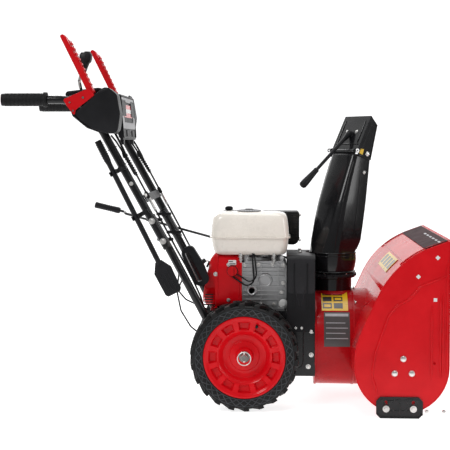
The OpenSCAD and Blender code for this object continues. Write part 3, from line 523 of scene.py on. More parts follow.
def rim(name, s):
    """Dished disc with twelve pockets pressed into its outer face."""
    mid = s * TRACK
    m = Build()
    face = [(9.6, 24.5), (17, 25.5), (20, 25), (23.5, 24), (26, 20), (28, 15), (33, 13.4), (44, 12.4),
            (45.5, 11), (47, 10.4), (60, 12), (65, 14), (67, 17), (69, 20), (74, 27), (80, 33.6),
            (83, 35.4), (85, 36), (88, 36.4), (93, 36.8), (99, 37.4), (104, 38), (107, 38.4), (109, 38.8),
            (112, 39.6), (116, 43), (119, 44.2), (123, 43.8), (124.4, 42)]
    n = 240

    def soft(x, a, b):
        x = min(1, max(0, (x - a) / (b - a)))
        return x * x * (3 - 2 * x)

    rings = []
    for r, y in face:
        ring = []
        for a in circle(n):
            k = abs(((degrees(a) + 15) % 30) - 15)
            pocket = soft(r, 83, 87) * (1 - soft(r, 105.5, 109.5)) * (1 - soft(k, 8.2, 10.4))
            ring.append((r * cos(a), mid + s * (y - 11 * pocket), HUB_Z + r * sin(a)))
        rings.append(ring)
    back = [(124.4, 40), (120, 36), (118, 10), (118, -30), (121, -38), (124.4, -42), (124.4, -44),
            (116, -43.6), (113.5, -34), (112, 10), (110.5, 20), (82, 19), (70, 10), (60, 7), (26, 7),
            (24.5, 5), (24, -38), (9.6, -38)]
    rings += [[(r * cos(a), mid + s * y, HUB_Z + r * sin(a)) for a in circle(n)] for r, y in back]
    m.rings(rings, caps=False, closed=True)
    m.lathe((0, mid, HUB_Z), (0, 1, 0),
            [(66.5, s * 14.2), (67.5, s * 15.4), (66.5, s * 16.4), (65.2, s * 15.2)], 80)
    piece(name, m, "red_paint", "wheels", (name.replace("_look", ""),), smooth=32, slot="red_paint")
    small = Build()
    a = radians(68)
    foot, neck, tip = ((101 * cos(a), mid + s * y, HUB_Z + 101 * sin(a)) for y in (30, 45, 46.8))
    small.rod(foot, neck, 4.2, 3.4, 16)
    small.rod(neck, tip, 4.4, 4, 12)
    piece("valve" + name[3:], small, "rubber", "wheels")
    hub = Build()
    hub.lathe((0, s * 263.9, HUB_Z), (0, s, 0), [(9.3, 0), (8.4, 0.6), (5, 0.7), (3, 0.2), (0.05, 0.1)], 32)
    hub.lathe((0, s * 241.2, HUB_Z), (0, s, 0), [(10.2, 0), (17, 0), (17, 1.4), (10.2, 1.6)], 32)
    piece("axle_end" + name[3:], hub, "iron", "wheels", smooth=30)


for s, side in SIDES:
    tyre("tyre_" + side + "_look", s)
    rim("rim_" + side + "_look", s)


# ---- Intake housing ----
def side_plate(s, side):
    """Beads, rolled edge and bolts of a side plate, and white squares painted where its square holes show
    the bright backdrop.
    """
    y = s * PLATE_Y
    m = Build()
    beads = [
        arc_path([(598, y, 423), (520, y, 392), (486, y, 352), (452, y, 334), (425, y, 302),
                  (388, y, 196), (378, y, 128), (396, y, 70)], 40),
        [(598, y, 470), (598, y, 110)], [(585, y, 372), (585, y, 118)], [(578, y, 372), (578, y, 118)],
        [(552, y, 336), (552, y, 112)],
    ]
    for line in beads:
        path = resample([Vector(p) for p in line], 9)
        k = len(path)
        m.tube(path, [3.2 * min(1, 0.2 + min(i, k - 1 - i) / 3) for i in range(k)], 12)
    # rolled edge round the plate
    edge = arc_path([(604.5, y, 516), (603, y, 524), (443, y, 465), (328.2, y, 211), (328.2, y, 11.8),
                     (603.6, y, 11.8), (603.6, y, 500)], (6, 270, 200, 138.4, 138.4), 14)
    m.tube(resample(edge, 14), 1.5, 8)
    piece("plate_beads_" + side, m, "red_paint", "chassis", smooth=60, slot="red_paint")
    m = Build()
    # bolts of the scraper's ends, the auger's bearing and the skid shoe
    for x, z in ((540, 20), (590, 20)):
        m.dome((x, y, z), (0, s, 0), 5.5, 3)
    for a in (30, 150, 270):
        t = radians(a)
        m.dome((AUGER_X + 29 * cos(t), s * 308.6, AUGER_Z - 29 * sin(t)), (0, s, 0), 8.6, 3.4)
    for x in (420, 500):
        m.screw((x, s * 313, 28), (0, s, 0), 7)
    piece("plate_bolts_" + side, m, "zinc", "chassis", smooth=32)
    m = Build()
    # white squares over the square holes: painted light of the backdrop seen through them
    for x, z, a in ((512, 419, 45), (568, 475, 45), (562, 351, 0)):
        c = radians(a)
        o = [(x + 5.1 * (u * cos(c) + w * sin(c)), z + 5.1 * (w * cos(c) - u * sin(c)))
             for u, w in ((-1, -1), (1, -1), (1, 1), (-1, 1))]
        m.slab(o, s * 303.4, s * 305.6)
    piece("plate_holes_painted_light_" + side, m, "label_white", "chassis")


def skid_shoe(s, side):
    """Ribs pressed into the shoe."""
    m = Build()
    for u, w in (((404, 20), (446, 54)), ((446, 20), (404, 54)), ((474, 20), (516, 54)),
                 ((516, 20), (474, 54)), ((460, 8), (460, 58))):
        m.tube([(u[0], s * 309.7, u[1]), ((u[0] + w[0]) / 2, s * 310.4, (u[1] + w[1]) / 2),
                (w[0], s * 309.7, w[1])], 1.7, 8)
    rim = ((396, 14), (405, 6), (514, 6), (523, 14), (523, 48), (514, 57), (405, 57), (396, 48))
    m.tube([(x, s * 309.6, z) for x, z in rim], 1.4, 8, closed=True)
    piece("shoe_ribs_" + side, m, "black_paint", "skid_" + side, smooth=60)


def hood_details():
    """Crease beads pressed into the hood, a band of trim over its front and a blank label."""
    def over(d, x):
        return hood_z(x) + d

    m = Build()
    for y in (-286, 286):
        m.tube([(x, y, over(2.0, x)) for x in range(460, 600, 10)], 1.6, 8)
    for x in (598, 470):
        m.tube([(x, y, over(2.0, x)) for y in spaced(-296, 296, 40)], 1.7, 8)
    m.tube([(604.5, y, 525.5) for y in spaced(-300, 300, 40)], 2.6, 10)
    piece("hood_beads", m, "red_paint", "chassis", smooth=60, slot="red_paint")

    def patch(name, mat, x0, x1, y0, y1, d):
        q = Build()
        corners = ((y0, d - 1), (y1, d - 1), (y1, d), (y0, d))
        q.rings([[(x, y, over(h, x)) for y, h in corners] for x in spaced(x0, x1, 12)])
        piece(name, q, mat, "chassis", smooth=60)

    patch("hood_band", "band_maroon", 532, 597, -296, 296, 2.9)
    for i in range(6):
        patch("hood_band_mark%d" % i, "label_silver", 574, 580, -280 + 60 * i, -244 + 60 * i, 3.05)
    patch("hood_label", "label_yellow", 428, 464, -190, 60, 2.95)
    for i in range(4):
        patch("hood_label_mark%d" % i, "label_dark", 434, 458, -180 + 60 * i, -140 + 60 * i, 3.1)


def hood_z(x):
    """Top of the hood sheet at x."""
    line = arc_path([(606, 0, 526), (443, 0, 466), (327, 0, 211), (327, 0, 60)], (270, 200), 24)
    for a, b in zip(line, line[1:]):
        if b.x <= x <= a.x:
            return a.z + (b.z - a.z) * (x - a.x) / (b.x - a.x)
    return 526


def drum_details():
    """Blank labels, lips, neck sleeve and bolts of the impeller drum."""
    def at(x, a, r):
        t = radians(a)
        return (x, -r * cos(t), DRUM_Z + r * sin(t))

    def wrap(name, mat, x0, x1, a0, a1, d):
        """Label on the drum from angle a0 to a1, raised by d."""
        m = Build()
        corners = ((x0, -0.6), (x1, -0.6), (x1, d), (x0, d))
        m.rings([[at(x, a, DRUM_R + h) for x, h in corners] for a in spaced(a0, a1, 18)])
        piece(name, m, mat, "chassis", smooth=30)

    wrap("drum_label", "label_yellow", 238, 320, 40, 82, 0.5)
    for i in range(3):
        a, x = 43 + 11 * i, 246 + 34 * (i % 2)
        wrap("drum_label_a%d" % i, "label_dark", 242, 270, a, a + 8, 0.7)
        wrap("drum_label_b%d" % i, "label_dark", 276, 304, a, a + 8, 0.7)
        wrap("drum_label_c%d" % i, "label_yellow", x, x + 20, a + 2, a + 6, 0.85)
    wrap("drum_plate", "plate_grey", 244, 324, -3, 38, 0.9)
    wrap("drum_plate_head", "label_silver", 248, 320, 32.5, 36, 1.05)
    for i in range(4):
        wrap("drum_plate_line%d" % i, "label_silver", 250, 318 - 8 * (i % 2), 6 + 6 * i, 7 + 6 * i, 1.05)
    m = Build()
    # flange lips at both ends, and a ring round the neck where it meets the drum
    for x in (219, 338):
        m.lathe((x, 0, DRUM_Z), (1, 0, 0), [(152.4, -3), (154.6, -3), (155.2, 0), (154.6, 3), (152.4, 3)],
                120)
    m.lathe((NECK_X, 0, 336), (0, 0, 1), [(58, 8), (60, 2), (66, -4), (58, -6)], 48)
    # the lips take the darker copy of the red paint, painted shade
    piece("drum_lips", m, "red_paint_shaded", "chassis", smooth=50)
    m = Build().lathe((NECK_X, 0, 343), (0, 0, 1), [(58.2, 0), (60.4, 0), (60.4, 36), (64, 39.6),
            (71, 39.8), (71, 44.1), (70.1, 44.1), (70.1, 40.9), (58.2, 40.9)], 56)
    piece("neck_sleeve", m, "chute_black", "chassis", smooth=40)
    m = Build()
    for a in (-28, 12, 52, 92, 128):
        p = at(338, a, 154)
        m.screw((342, p[1] * 0.995, p[2]), (1, 0, 0), 5.5)
    for x, y in ((246, 110), (236, 72)):
        m.screw((x, y, 341), (0, 0, 1), 5)
    piece("drum_bolts", m, "zinc", "chassis", smooth=30)


for s, side in SIDES:
    side_plate(s, side)
    skid_shoe(s, side)
hood_details()
drum_details()


# ---- Chute ----
REST = radians(35)


def chute_piece(name, m, *rest, **options):
    """Piece drawn along the chute's own axes, turned to its place at rest."""
    c, t = cos(REST), sin(REST)
    m.v = [Vector((NECK_X + p.x * c - p.y * t, p.x * t + p.y * c, p.z)) for p in m.v]
    piece(name, m, *rest, **options)


def chute_section(z, t):
    """Outline at height z, t inside the outer face, from one front corner round the back to the other."""
    # height, back, front, half width, and corner radii at the back and in front
    keys = [(399.5, -66, 66, 66, 66, 65), (418, -69.5, 69, 69, 66, 62), (440, -70.6, 60, 70.8, 66, 40),
            (462, -69, 50, 70.6, 60, 26), (500, -59, 56, 69.6, 48, 9), (560, -40, 67, 68, 34, 8),
            (620, -22, 78, 66, 28, 8), (700, 7, 89.5, 63.4, 22, 8), (776, 36, 100, 61, 18, 8)]
    for a, b in zip(keys, keys[1:]):
        if z <= b[0]:
            break
    k = (z - a[0]) / (b[0] - a[0])
    back, front, w, rb, rf = (p + (q - p) * k for p, q in zip(a[1:], b[1:]))
    back, front, w = back + t, front - (t if z < 462 else 0), w - t
    rb, rf = max(1, rb - t), max(1, rf - t)
    out = []
    for cx, cy, r, a0 in ((front - rf, -w + rf, rf, 0), (back + rb, -w + rb, rb, -90),
                          (back + rb, w - rb, rb, 180), (front - rf, w - rf, rf, 90)):
        for i in range(9):
            g = radians(a0 - 90 * i / 8)
            out.append((cx + r * cos(g), cy + r * sin(g), z))
    return out


def chute_look():
    """Folded sheet of the chute with its ridges, hinge strip and bolts."""
    m = Build()
    zs = spaced(399.5, 462, 9)
    m.rings([chute_section(z, 0) for z in zs] + [chute_section(z, 2.5) for z in reversed(zs)], caps=False,
            closed=True)
    # walls above the bowl, open in front
    rings = []
    for z in spaced(461.5, 775.8, 30):
        outer, inner = ([(o[8][0] + 8, o[8][1], z)] + o[8:28] + [(o[27][0] + 8, o[27][1], z)]
                        for o in (chute_section(z, 0), chute_section(z, 2.5)))
        rings.append(outer + inner[::-1])
    m.rings(rings)
    chute_piece("chute_look", m, "chute_black", "chute", ("chute_channel",), bevel=0.5, smooth=40,
                slot="black_paint")
    m = Build()
    # folded ridges down both corners, the seam over the bowl, the front hems and the collar
    for corner, edge in ((12, 8), (23, 27)):
        ridge = [Vector(chute_section(z, -0.3)[corner]) for z in spaced(462, 754, 40)]
        m.tube(ridge, [1.9 * min(1, 0.3 + k / 4) for k in range(41)], 10)
        crease = [Vector(chute_section(z, -0.2)[edge]) + Vector((-22, 0, 0)) for z in spaced(520, 714, 30)]
        m.tube(crease, [1.6 * min(1, 0.3 + (30 - k) / 4) for k in range(31)], 8)
        lip = [Vector(chute_section(z, 2.8)[edge]) + Vector((7, 0, 0)) for z in spaced(474, 770, 30)]
        m.tube(lip, 2.2, 10)
    m.tube([Vector(p) for p in chute_section(462, -0.4)], 2.3, 10, closed=True)
    m.tube([Vector(p) for p in chute_section(452, -0.2)], 1.3, 8, closed=True)
    m.tube([Vector(p) for p in chute_section(774, 0.8)[8:28]], 2.3, 10)
    m.lathe((0, 0, 399.6), (0, 0, 1), [(60, 0), (72, 0), (73, 1.5), (72, 3.4), (66.6, 5), (60, 5)], 64)
    chute_piece("chute_beads", m, "chute_black", "chute", smooth=60, slot="black_paint")
    # strip and barrel that close the gap at the deflector's hinge
    m = Build().slab([(37.5, 766), (39.5, 766), (42.6, HINGE_Z), (40.6, HINGE_Z)], -61, 61)
    m.rod((41, -61, HINGE_Z), (41, 61, HINGE_Z), 4.2)
    chute_piece("hinge_strip", m, "chute_black", "chute", smooth=40, slot="black_paint")
    m = Build()
    for y in (-74.5, 72.7):
        m.lathe((40, y, HINGE_Z), (0, 1, 0), [(3.1, 0), (6.5, 0), (6.8, 0.9), (6.5, 1.8), (3.1, 1.8)], 24)
    for s in (-1, 1):
        m.screw((76, s * 63.4, 717), (0, s, 0), 4)
    for a in (30, 90, 150, 210, 270, 330):
        g = radians(a)
        m.screw((69.6 * cos(g), 69.6 * sin(g), 395.2), (0, 0, 1), 3.1, washer=False)
    chute_piece("chute_bolts", m, "zinc", "chute", smooth=30)


def deflector_look():
    """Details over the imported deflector: folded lips, bolts and a blank label; and its lever."""
    m = Build()
    for y in (-64.45, 64.45):
        m.tube([(47.5, y, 788), (103.2, y, 894.6), (126.2, y, 867.4), (99.6, y, 758), (53, y, 771)], 1.9,
               8, closed=True)
        m.tube(arc_path([(62, y * 1.015, 790), (104, y * 1.015, 872), (112, y * 1.015, 862),
                         (96, y * 1.015, 786)], 6), 1.3, 8)
    m.tube([(102.8, y, 896.2) for y in spaced(-65, 65, 12)], 1.9, 8)
    m.tube([(54.5, y, 808.6) for y in spaced(-56, 56, 12)], 1.5, 8)
    for y in (-50, 50):
        m.tube([(57, y, 813), (93, y, 882)], 1.4, 8)
    chute_piece("deflector_lips", m, "chute_black", "deflector", smooth=60, slot="black_paint")
    m = Build()
    for s in (-1, 1):
        m.screw((84, s * 68.6, 776), (0, s, 0), 5.4)
    for y in (-24, 24):
        m.screw((77, y, 848), (-0.888, 0, 0.458), 4)
    chute_piece("deflector_bolts", m, "zinc", "deflector", smooth=30)
    m = Build()
    m.slab([(53, 779), (60, 793), (72, 791), (66, 774)], -65.9, -66.4)
    chute_piece("deflector_label", m, "label_yellow", "deflector")
    # lever with a tapered root and a fluted grip that widens to its end
    m = Build()
    out = unit((-110.5, 0, 57))
    root = Vector((71.1, 0, 838)) + 7 * out
    tip = Vector((-125, 0, 675))
    d = (tip - root).normalized()
    m.tube([root - 7 * out + 0.2 * out, root, root + d * 10, root + d * 34, tip - 76 * d],
           [13, 11.5, 9, 5.8, 5.4], 20)
    grip = [tip - 80 * d, tip - 78.5 * d, tip - 74 * d, tip - 71 * d, tip - 40 * d, tip - 14 * d,
            tip - 6 * d, tip - 2 * d, tip - 0.3 * d]
    m.tube(grip, [5.2, 8.4, 9.2, 8.2, 10, 12, 12, 9.5, 3], 24)
    u = d.orthogonal().normalized()
    for k in range(10):
        side = cos(0.628 * k) * u + sin(0.628 * k) * d.cross(u)
        m.tube([tip - 70 * d + 7.9 * side, tip - 40 * d + 9.9 * side, tip - 15 * d + 11.8 * side], 0.8, 6)
    chute_piece("deflector_handle", m, "black_plastic", "deflector", ("deflector_lever",), smooth=45,
                slot="black_plastic")


chute_look()
deflector_look()


# ---- Engine ----
def tank_look():
    """Fuel tank with its seam, bolts and cap."""
    m = layers(Build(), [(458, -76, 106, -80, -8, 18), (459.5, -88, 118, -92, 4, 22),
                         (464, -96, 125, -99, 9, 24), (473, -101, 129, -103, 13, 25),
                         (490, -105, 132, -106, 16, 26), (513, -108, 134, -108.6, 18, 27)])
    layers(m, [(517.5, -109, 135.5, -110, 20, 27), (548, -107, 133.5, -109, 18, 28),
               (572, -104, 130.5, -106.6, 14, 29), (581, -101, 128, -104, 11, 30),
               (587, -96.5, 124, -100, 7, 31), (591, -89, 117, -94, 0, 30),
               (593.6, -79, 106, -86, -10, 27), (594, -64, 92, -74, -20, 22)])
    m.lathe((9, -45, 590), (0, 0, 1), [(22, 3), (28, 4.6), (32, 4.6), (35, 3), (40, 2), (22, 0)], 48)
    piece("tank_look", m, "cream_paint", "chassis", ("fuel_tank",), smooth=50, slot="cream_paint")
    m = layers(Build(), [(512.6, -112.6, 139.4, -113.4, 23.4, 30), (513.2, -113.4, 140, -114, 24, 30.5),
                         (514.8, -113.4, 140, -114, 24, 30.5), (515.2, -112.2, 139, -113, 23, 30),
                         (515.6, -113.4, 140, -114, 24, 30.5), (517.2, -113.4, 140, -114, 24, 30.5),
                         (517.8, -112.6, 139.4, -113.4, 23.4, 30)])
    piece("tank_flange", m, "cream_paint", "chassis", smooth=30, slot="cream_paint")
    m = Build()
    for x, y in ((-102, -60), (-102, -30), (132, -60), (132, -30), (-40, -106), (70, -106), (-60, 17),
                 (0, 17), (110, 17)):
        m.screw((x, y, 517.6), (0, 0, 1), 4)
    for x, z in ((-16, 447.5), (88.5, 447.5)):
        # posts under the tank, with their nuts
        m.rod((x, -96, 436), (x, -96, 466), 5.2)
        m.lathe((x, -96, 452), (0, 0, 1), [(5, 0), (9, 0), (9, 3), (5, 3)], 24)
        m.hexagon((x, -96, 455), (0, 0, 1), 8, 7)
        m.hexagon((x, -96, 441), (0, 0, 1), 8, 6)
    piece("tank_bolts", m, "zinc", "chassis", smooth=30)
    m = Build()
    m.lathe((9, -45, 594.2), (0, 0, 1), [(0.05, 5.4), (18, 5.3), (20, 6.2), (26, 6.2), (28, 5.2), (33, 5),
            (36.4, 3.8), (37, 2), (36.6, 0.6), (0.05, 0.4)], 60)
    m.ridges((9, -45), True, 30, (36.9, 595), (36.5, 598.4), 1.3, 1.1)
    for k in range(5):
        m.rings([[(9 + x, -45 + y, z) for x, y in ((-15 + k, -3), (15 - k, -3), (15 - k, 3), (-15 + k, 3))]
                 for z in (599 + k * 0.6, 600.4 + k * 0.6)])
    piece("cap_look", m, "grey_plastic", "cap", ("fuel_cap",), smooth=35, slot="black_plastic")


BOSSES = ((-4, 306), (-4, 428), (118, 428), (118, 372), (112, 344), (40, 430), (84, 430), (50, 304),
          (88, 304))


def crankcase_look():
    """Ribs, cover edge and bosses of the crankcase."""
    m = Build()
    for z in (318, 332, 346, 360, 392, 404, 416, 428):
        m.slab([(-10, z), (122, z), (120, z + 3.4), (-8, z + 3.4)], -94.5, -102.5)
    for x in (-12, 46, 100):
        m.slab([(x, 300), (x + 4, 300), (x + 4, 436), (x, 436)], -94.5, -101)
    m.slab([(66, 300), (98, 300), (98, 340), (66, 340)], -94.5, -99)
    m.lathe((62, -96, 381), (0, -1, 0), [(0.05, 5.6), (15, 5.6), (16, 4.6), (17.5, 4.6), (18, 6.2),
            (20, 6.2), (21, 4), (22, 0), (0.05, 0)], 40)
    m.lathe((19, -94, 348), (0, -1, 0), [(16, 0), (17.5, 4), (17.5, 10), (16, 13), (12, 13.6), (10, 12),
            (0.05, 12)], 36)
    for x, z in BOSSES:
        m.lathe((x, -95, z), (0, -1, 0), [(8, 0), (7.4, 4), (0.05, 4)], 20)
    for x in (-4, 100):
        m.box((x, -112, 290), (x + 22, -94, 297))
    piece("crankcase_look", m, "cast_alloy", "chassis", bevel=0.7, smooth=30, slot="cast_alloy")


def engine_fixings():
    """Bolts of the engine and its oil plug."""
    m = Build()
    for x, z in BOSSES:
        m.screw((x, -98.8, z), (0, -1, 0), 5)
    for x in (7, 111):
        m.screw((x, -105, 297), (0, 0, 1), 6)
        m.screw((x, 65, 298), (0, 0, 1), 6)
    for s in (-1, 1):
        for z in (318, 430):
            m.screw((-54, s * 104.16, z), (0, s, 0), 4.6)
    m.screw((-94.5, -105.4, 400), (0, -1, 0), 5)
    for y, z in ((42, 496), (100, 496), (42, 578), (100, 578)):
        m.screw((170.2, y, z), (1, 0, 0), 5)
    piece("engine_bolts", m, "zinc", "chassis", smooth=30)
    m = Build()
    m.lathe((118, -106, 309), (0, -1, 0), [(13.4, 0), (13.4, 5), (11, 6.4), (7, 6.6), (7, 10), (0.05, 10)],
            28)
    m.ridges((118, 309), False, 14, (13.2, -106.4), (13.2, -110.8), 1.1, 1)
    piece("oil_plug", m, "label_white", "chassis", smooth=30)


def engine_leads():
    """Loops of wiring from the switch, and the spark plug's lead on the other side."""
    m = Build()
    for route, corner, step, r in (
            ([(22, -97, 466), (22, -112, 440), (27, -114, 376), (4, -113, 362), (-22, -112, 380),
              (-40, -110, 392), (-42, -106, 402)], 26, 6, 2.6),
            ([(26, -97, 466), (30, -110, 442), (35, -111, 392), (14, -111, 374), (-20, -110, 396),
              (-36, -110, 404)], 24, 6, 2.0),
            ([(56, 116, 450), (56, 132, 452), (30, 138, 440), (-30, 128, 420), (-60, 108, 404),
              (-62, 100, 400)], 24, 7, 3.4),
            ([(-30, 70, 470), (-30, 100, 474), (-10, 104, 498), (30, 60, 506), (30, 26, 506),
              (30, 10, 500)], 20, 7, 3.0)):
        m.cord(route, corner, step, r)
    piece("engine_leads", m, "rubber", "chassis", smooth=60)
    m = Build()
    m.rod((56, 107, 443), (56, 119, 449), 9, 8)
    m.rod((56, 117, 448.5), (56, 125, 452), 7, 9)
    m.rod((-46, 62, 498), (-46, 62, 508), 8, 12)
    m.lathe((-38, 86, 482), (0, 1, 0), [(0.05, 12), (6, 11.5), (10, 8), (12, 3), (13, 0), (0.05, 0)], 28)
    piece("engine_rubber", m, "rubber", "chassis", smooth=40)


def throttle_links():
    """Rods and spring between the throttle and the governor."""
    m = Build()
    m.rod((-20, 86, 474), (-20, 98, 474), 4)
    m.tube(arc_path([(-20, 96, 474), (4, 96, 474), (26, 88, 462), (34, 70, 452), (34, 62, 446)], 8), 1.5, 8)
    m.tube([(-14 + 36 * i / 90, 92 + 3.4 * cos(i * 0.9), 488 + 3.4 * sin(i * 0.9)) for i in range(91)],
           0.6, 6)
    m.rod((40, 108, 430), (70, 108, 430), 3)
    piece("engine_links", m, "zinc", "chassis", smooth=50)


def starter_cover():
    """Seam, raised fields, louvres and slots of the blower housing and starter; the louvres and slots are
    near-black boxes, painted shade.
    """
    m = Build()
    line = arcs([(-105.4, 292.5), (105.4, 292.5), (105.4, 462), (-105.4, 462)], 44)
    m.tube([(-88, y, z) for y, z in line], 1.6, 8, closed=True)
    m.tube([(-20, y, z) for y, z in line], 1.5, 8, closed=True)
    for r in (30, 62, 92):
        m.tube([(-134.6 + (380 + r * sin(a) - 330) * 0.2069 * (1 if r * sin(a) > -50 else 0.2), r * cos(a),
                 380 + r * sin(a))
                for a in circle(60) if -75 < r * sin(a) < 64], 1.5, 8)
    m.box((-98, -104, 292.4), (-90, 104, 296))
    piece("blower_beads", m, "red_paint", "chassis", smooth=60, slot="red_paint")
    m = Build()
    # louvres low on both sides of the starter, as near-black boxes: painted shade in their openings
    for k in range(5):
        for s in (-1, 1):
            m.box((-132 + k * 1.0, s * 94.6, 300 + 8 * k), (-102, s * 98.2, 303.6 + 8 * k))
    for k in range(9):
        z = 346 + 9.5 * k
        x = -134 + (z - 330) * 24 / 116
        half = 42 if k < 7 else 32
        for s in (-1, 1):
            m.box((x - 0.7, s * 10, z), (x + 3, s * (10 + half), z + 4.4))
    piece("starter_slot_shade", m, "slot_shade_black", "chassis")
    m = Build()
    m.lathe((-133, 0, 380), (-0.98, 0, 0.2), [(0.05, 3.5), (10, 3.5), (12, 2.5), (13, -4), (0.05, -4)], 32)
    m.lathe((-122, -40, 424), (-0.9, 0, 0.42), [(7, -4), (7, 3), (10, 3), (11, 1), (11, -4)], 24)
    m.lathe((-42, -104.8, 410), (0, -1, 0), [(7.2, 0), (17.5, 0), (17.5, 1.4), (16, 2), (7.2, 2)], 36)
    piece("starter_hub", m, "black_plastic", "chassis", smooth=35)


def engine_switch():
    """Blank label by the switch and ridges round its knob."""
    m = Build()
    m.box((-54, -105.3, 429), (-30, -106, 444))
    piece("switch_label", m, "label_white", "chassis")
    m = Build()
    m.box((-52, -105.9, 431), (-32, -106.3, 434))
    m.box((-52, -105.9, 438), (-40, -106.3, 441))
    piece("switch_label_lines", m, "label_dark", "chassis")
    m = Build()
    m.ridges((-42, 410), False, 16, (15, -107), (14.6, -117), 1.4, 1.2)
    piece("switch_ribs", m, "red_plastic", "switch", smooth=50)


def muffler_look():
    """Slotted guard plate on the muffler, with near-black boxes in its slots as painted shade."""
    m = Build()
    m.slab(arcs([(139, 494), (166, 494), (166, 580), (139, 580)], 5), 30.2, 27.6)
    for z in range(505, 570, 9):
        m.box((143, 27.8, z), (162, 26.6, z + 5))
    piece("muffler_panel", m, "heat_black", "chassis", bevel=0.6)
    m = Build()
    # near-black boxes in the slots: painted shade
    for z in range(505, 570, 9):
        m.box((144.5, 26.8, z + 0.8), (160.5, 26.2, z + 4.2))
    piece("muffler_slot_shade", m, "slot_shade_black", "chassis")


def filter_look():
    """Bead and knob on the air filter's cover."""
    m = Build()
    m.tube([(x, y, 568) for x, y in rounded_rect(-101, 31, 27, 113, 10)], 1.8, 8, closed=True)
    m.lathe((-60, 70, 589), (0, 0, 1), [(0.05, 15), (6, 14.8), (9.6, 13.4), (11, 11), (12.4, 8), (12.4, 4),
            (9, 2.4), (7, 0), (0.05, 0)], 36)
    m.ridges((-60, 70), True, 10, (12.2, 592.6), (10.8, 600.6), 1.6, 1.3)
    piece("filter_details", m, "black_plastic", "chassis", smooth=50)


def cover_look():
    """Folds, screws and beads of the belt cover and the chassis box."""
    m = Build()
    # folds that close in a point low on the cover
    for u, w in ((150, 168), (189, 173)):
        m.tube(arc_path([(u, -142, 449), (u, -142, 372), (w, -142, 306)], 40), [1.2] + [2.6] * 9 + [0.6], 8)
    piece("cover_ribs", m, "dark_panel", "chassis", bevel=0.5)
    m = Build()
    m.slab(arcs([(131.5, 345), (215, 345), (215, 452), (131.5, 452)], 12), -142, -142.9)
    piece("cover_field", m, "dark_panel", "chassis", bevel=0.4)
    m = Build()
    for x in (157, 175):
        m.screw((x, -138.2, 237), (0, -1, 0), 4.8)
    for y in (-30, 60):
        m.screw((172, y, 462), (0, 0, 1), 5)
    piece("cover_screws", m, "zinc", "chassis", smooth=30)
    m = Build()
    # screws and stiffening beads of the chassis box
    for s in (-1, 1):
        for x, z in ((-96, 272), (-96, 104), (60, 272), (196, 116), (205, 153), (205, 227)):
            m.screw((x, s * 138.2, z), (0, s, 0), 5.4)
    for y in (-110, 110):
        for z in (110, 262):
            m.screw((-110.2, y, z), (-1, 0, 0), 5)
    piece("chassis_screws", m, "zinc", "chassis", smooth=30)
    m = Build()
    for s in (-1, 1):
        m.tube([(x, s * 138.2, z) for x, z in arcs([(-80, 110), (180, 110), (180, 262), (-80, 262)], 24)],
               1.8, 8, closed=True)
        m.lathe((0, s * 138, HUB_Z), (0, s, 0), [(22.2, 0), (34, 0), (33, 3), (24, 4), (22.2, 4)], 40)
    m.tube([(-110.3, y, z) for y, z in arcs([(-100, 120), (100, 120), (100, 250), (-100, 250)], 20)], 1.8,
           8, closed=True)
    piece("chassis_beads", m, "black_paint", "chassis", smooth=60)


tank_look()
for look in (crankcase_look, engine_fixings, engine_leads, throttle_links, starter_cover, engine_switch,
             muffler_look, filter_look, cover_look):
    look()


# ---- Auger and impeller ----
def auger_look():
    """Teeth, shear bolts and collars of the auger, and bosses and bolts of its gearbox."""
    for s, side in SIDES:
        m = Build()
        # teeth cut along the ribbon's edge
        for i in range(60):
            a, y = radians(s * (i * 9 + 4)), s * (42 + (i + 0.45) * 4.0)

            def at(r, da, dy):
                return (AUGER_X + r * cos(a + da), y + s * dy, AUGER_Z + r * sin(a + da))

            m.rings([[at(120, -0.036, -0.4), at(120, 0.036, -0.4), at(120, 0.036, 3.4),
                      at(120, -0.036, 3.4)],
                     [at(130.5, -0.012, 0.2), at(130.5, 0.02, 0.2), at(130.5, 0.02, 2.8),
                      at(130.5, -0.012, 2.8)]])
        piece("auger_teeth_" + side, m, "red_paint", "auger", smooth=30, slot="red_paint")
        m = Build()
        for y in (60, 268):
            m.rod((AUGER_X - 19, s * y, AUGER_Z), (AUGER_X + 19, s * y, AUGER_Z), 4)
            m.hexagon((AUGER_X + 14, s * y, AUGER_Z), (1, 0, 0), 7, 5)
            m.hexagon((AUGER_X - 14, s * y, AUGER_Z), (-1, 0, 0), 7, 5)
        piece("shear_bolts_" + side, m, "zinc", "auger", smooth=30)
        m = Build()
        for y in (54, 66, 262, 274):
            m.lathe((AUGER_X, s * y, AUGER_Z), (0, 1, 0), [(14, -2.4), (16, -1.6), (16, 1.6), (14, 2.4)],
                    40)
        piece("auger_collars_" + side, m, "red_paint", "auger", smooth=40)
    bosses = ((440, 196), (440, 128), (500, 128), (500, 200), (470, 204))
    m = Build()
    for s in (-1, 1):
        m.slab(arcs([(436, 204), (436, 114), (504, 114), (504, 208)], 22), s * 26, s * 28)
        for x, z in bosses:
            m.lathe((x, s * 26, z), (0, s, 0), [(5.5, 0), (5, 4), (0.05, 4)], 16)
        m.lathe((AUGER_X, s * 28, AUGER_Z), (0, s, 0), [(20, 4), (24, 3), (27, 0), (20, 0)], 40)
    m.lathe((512, 0, DRUM_Z), (1, 0, 0), [(0.05, 0), (17, 0), (16, 2), (10, 3), (0.05, 3)], 32)
    piece("gearbox_look", m, "cast_alloy", "chassis", bevel=0.8, smooth=30, slot="cast_alloy")
    m = Build()
    for s in (-1, 1):
        for x, z in bosses:
            m.screw((x, s * 30, z), (0, s, 0), 4)
    for y in (-240, -80, 80, 240):
        m.screw((496, y, 9.9), (0, 0, 1), 5.5)
    piece("gearbox_bolts", m, "zinc", "chassis", smooth=30)


auger_look()


# ---- Handle ----
TUBE_R = 12.5
LOWER_Y, UPPER_Y = 168, 195  # middle of the lower and the upper handle tubes


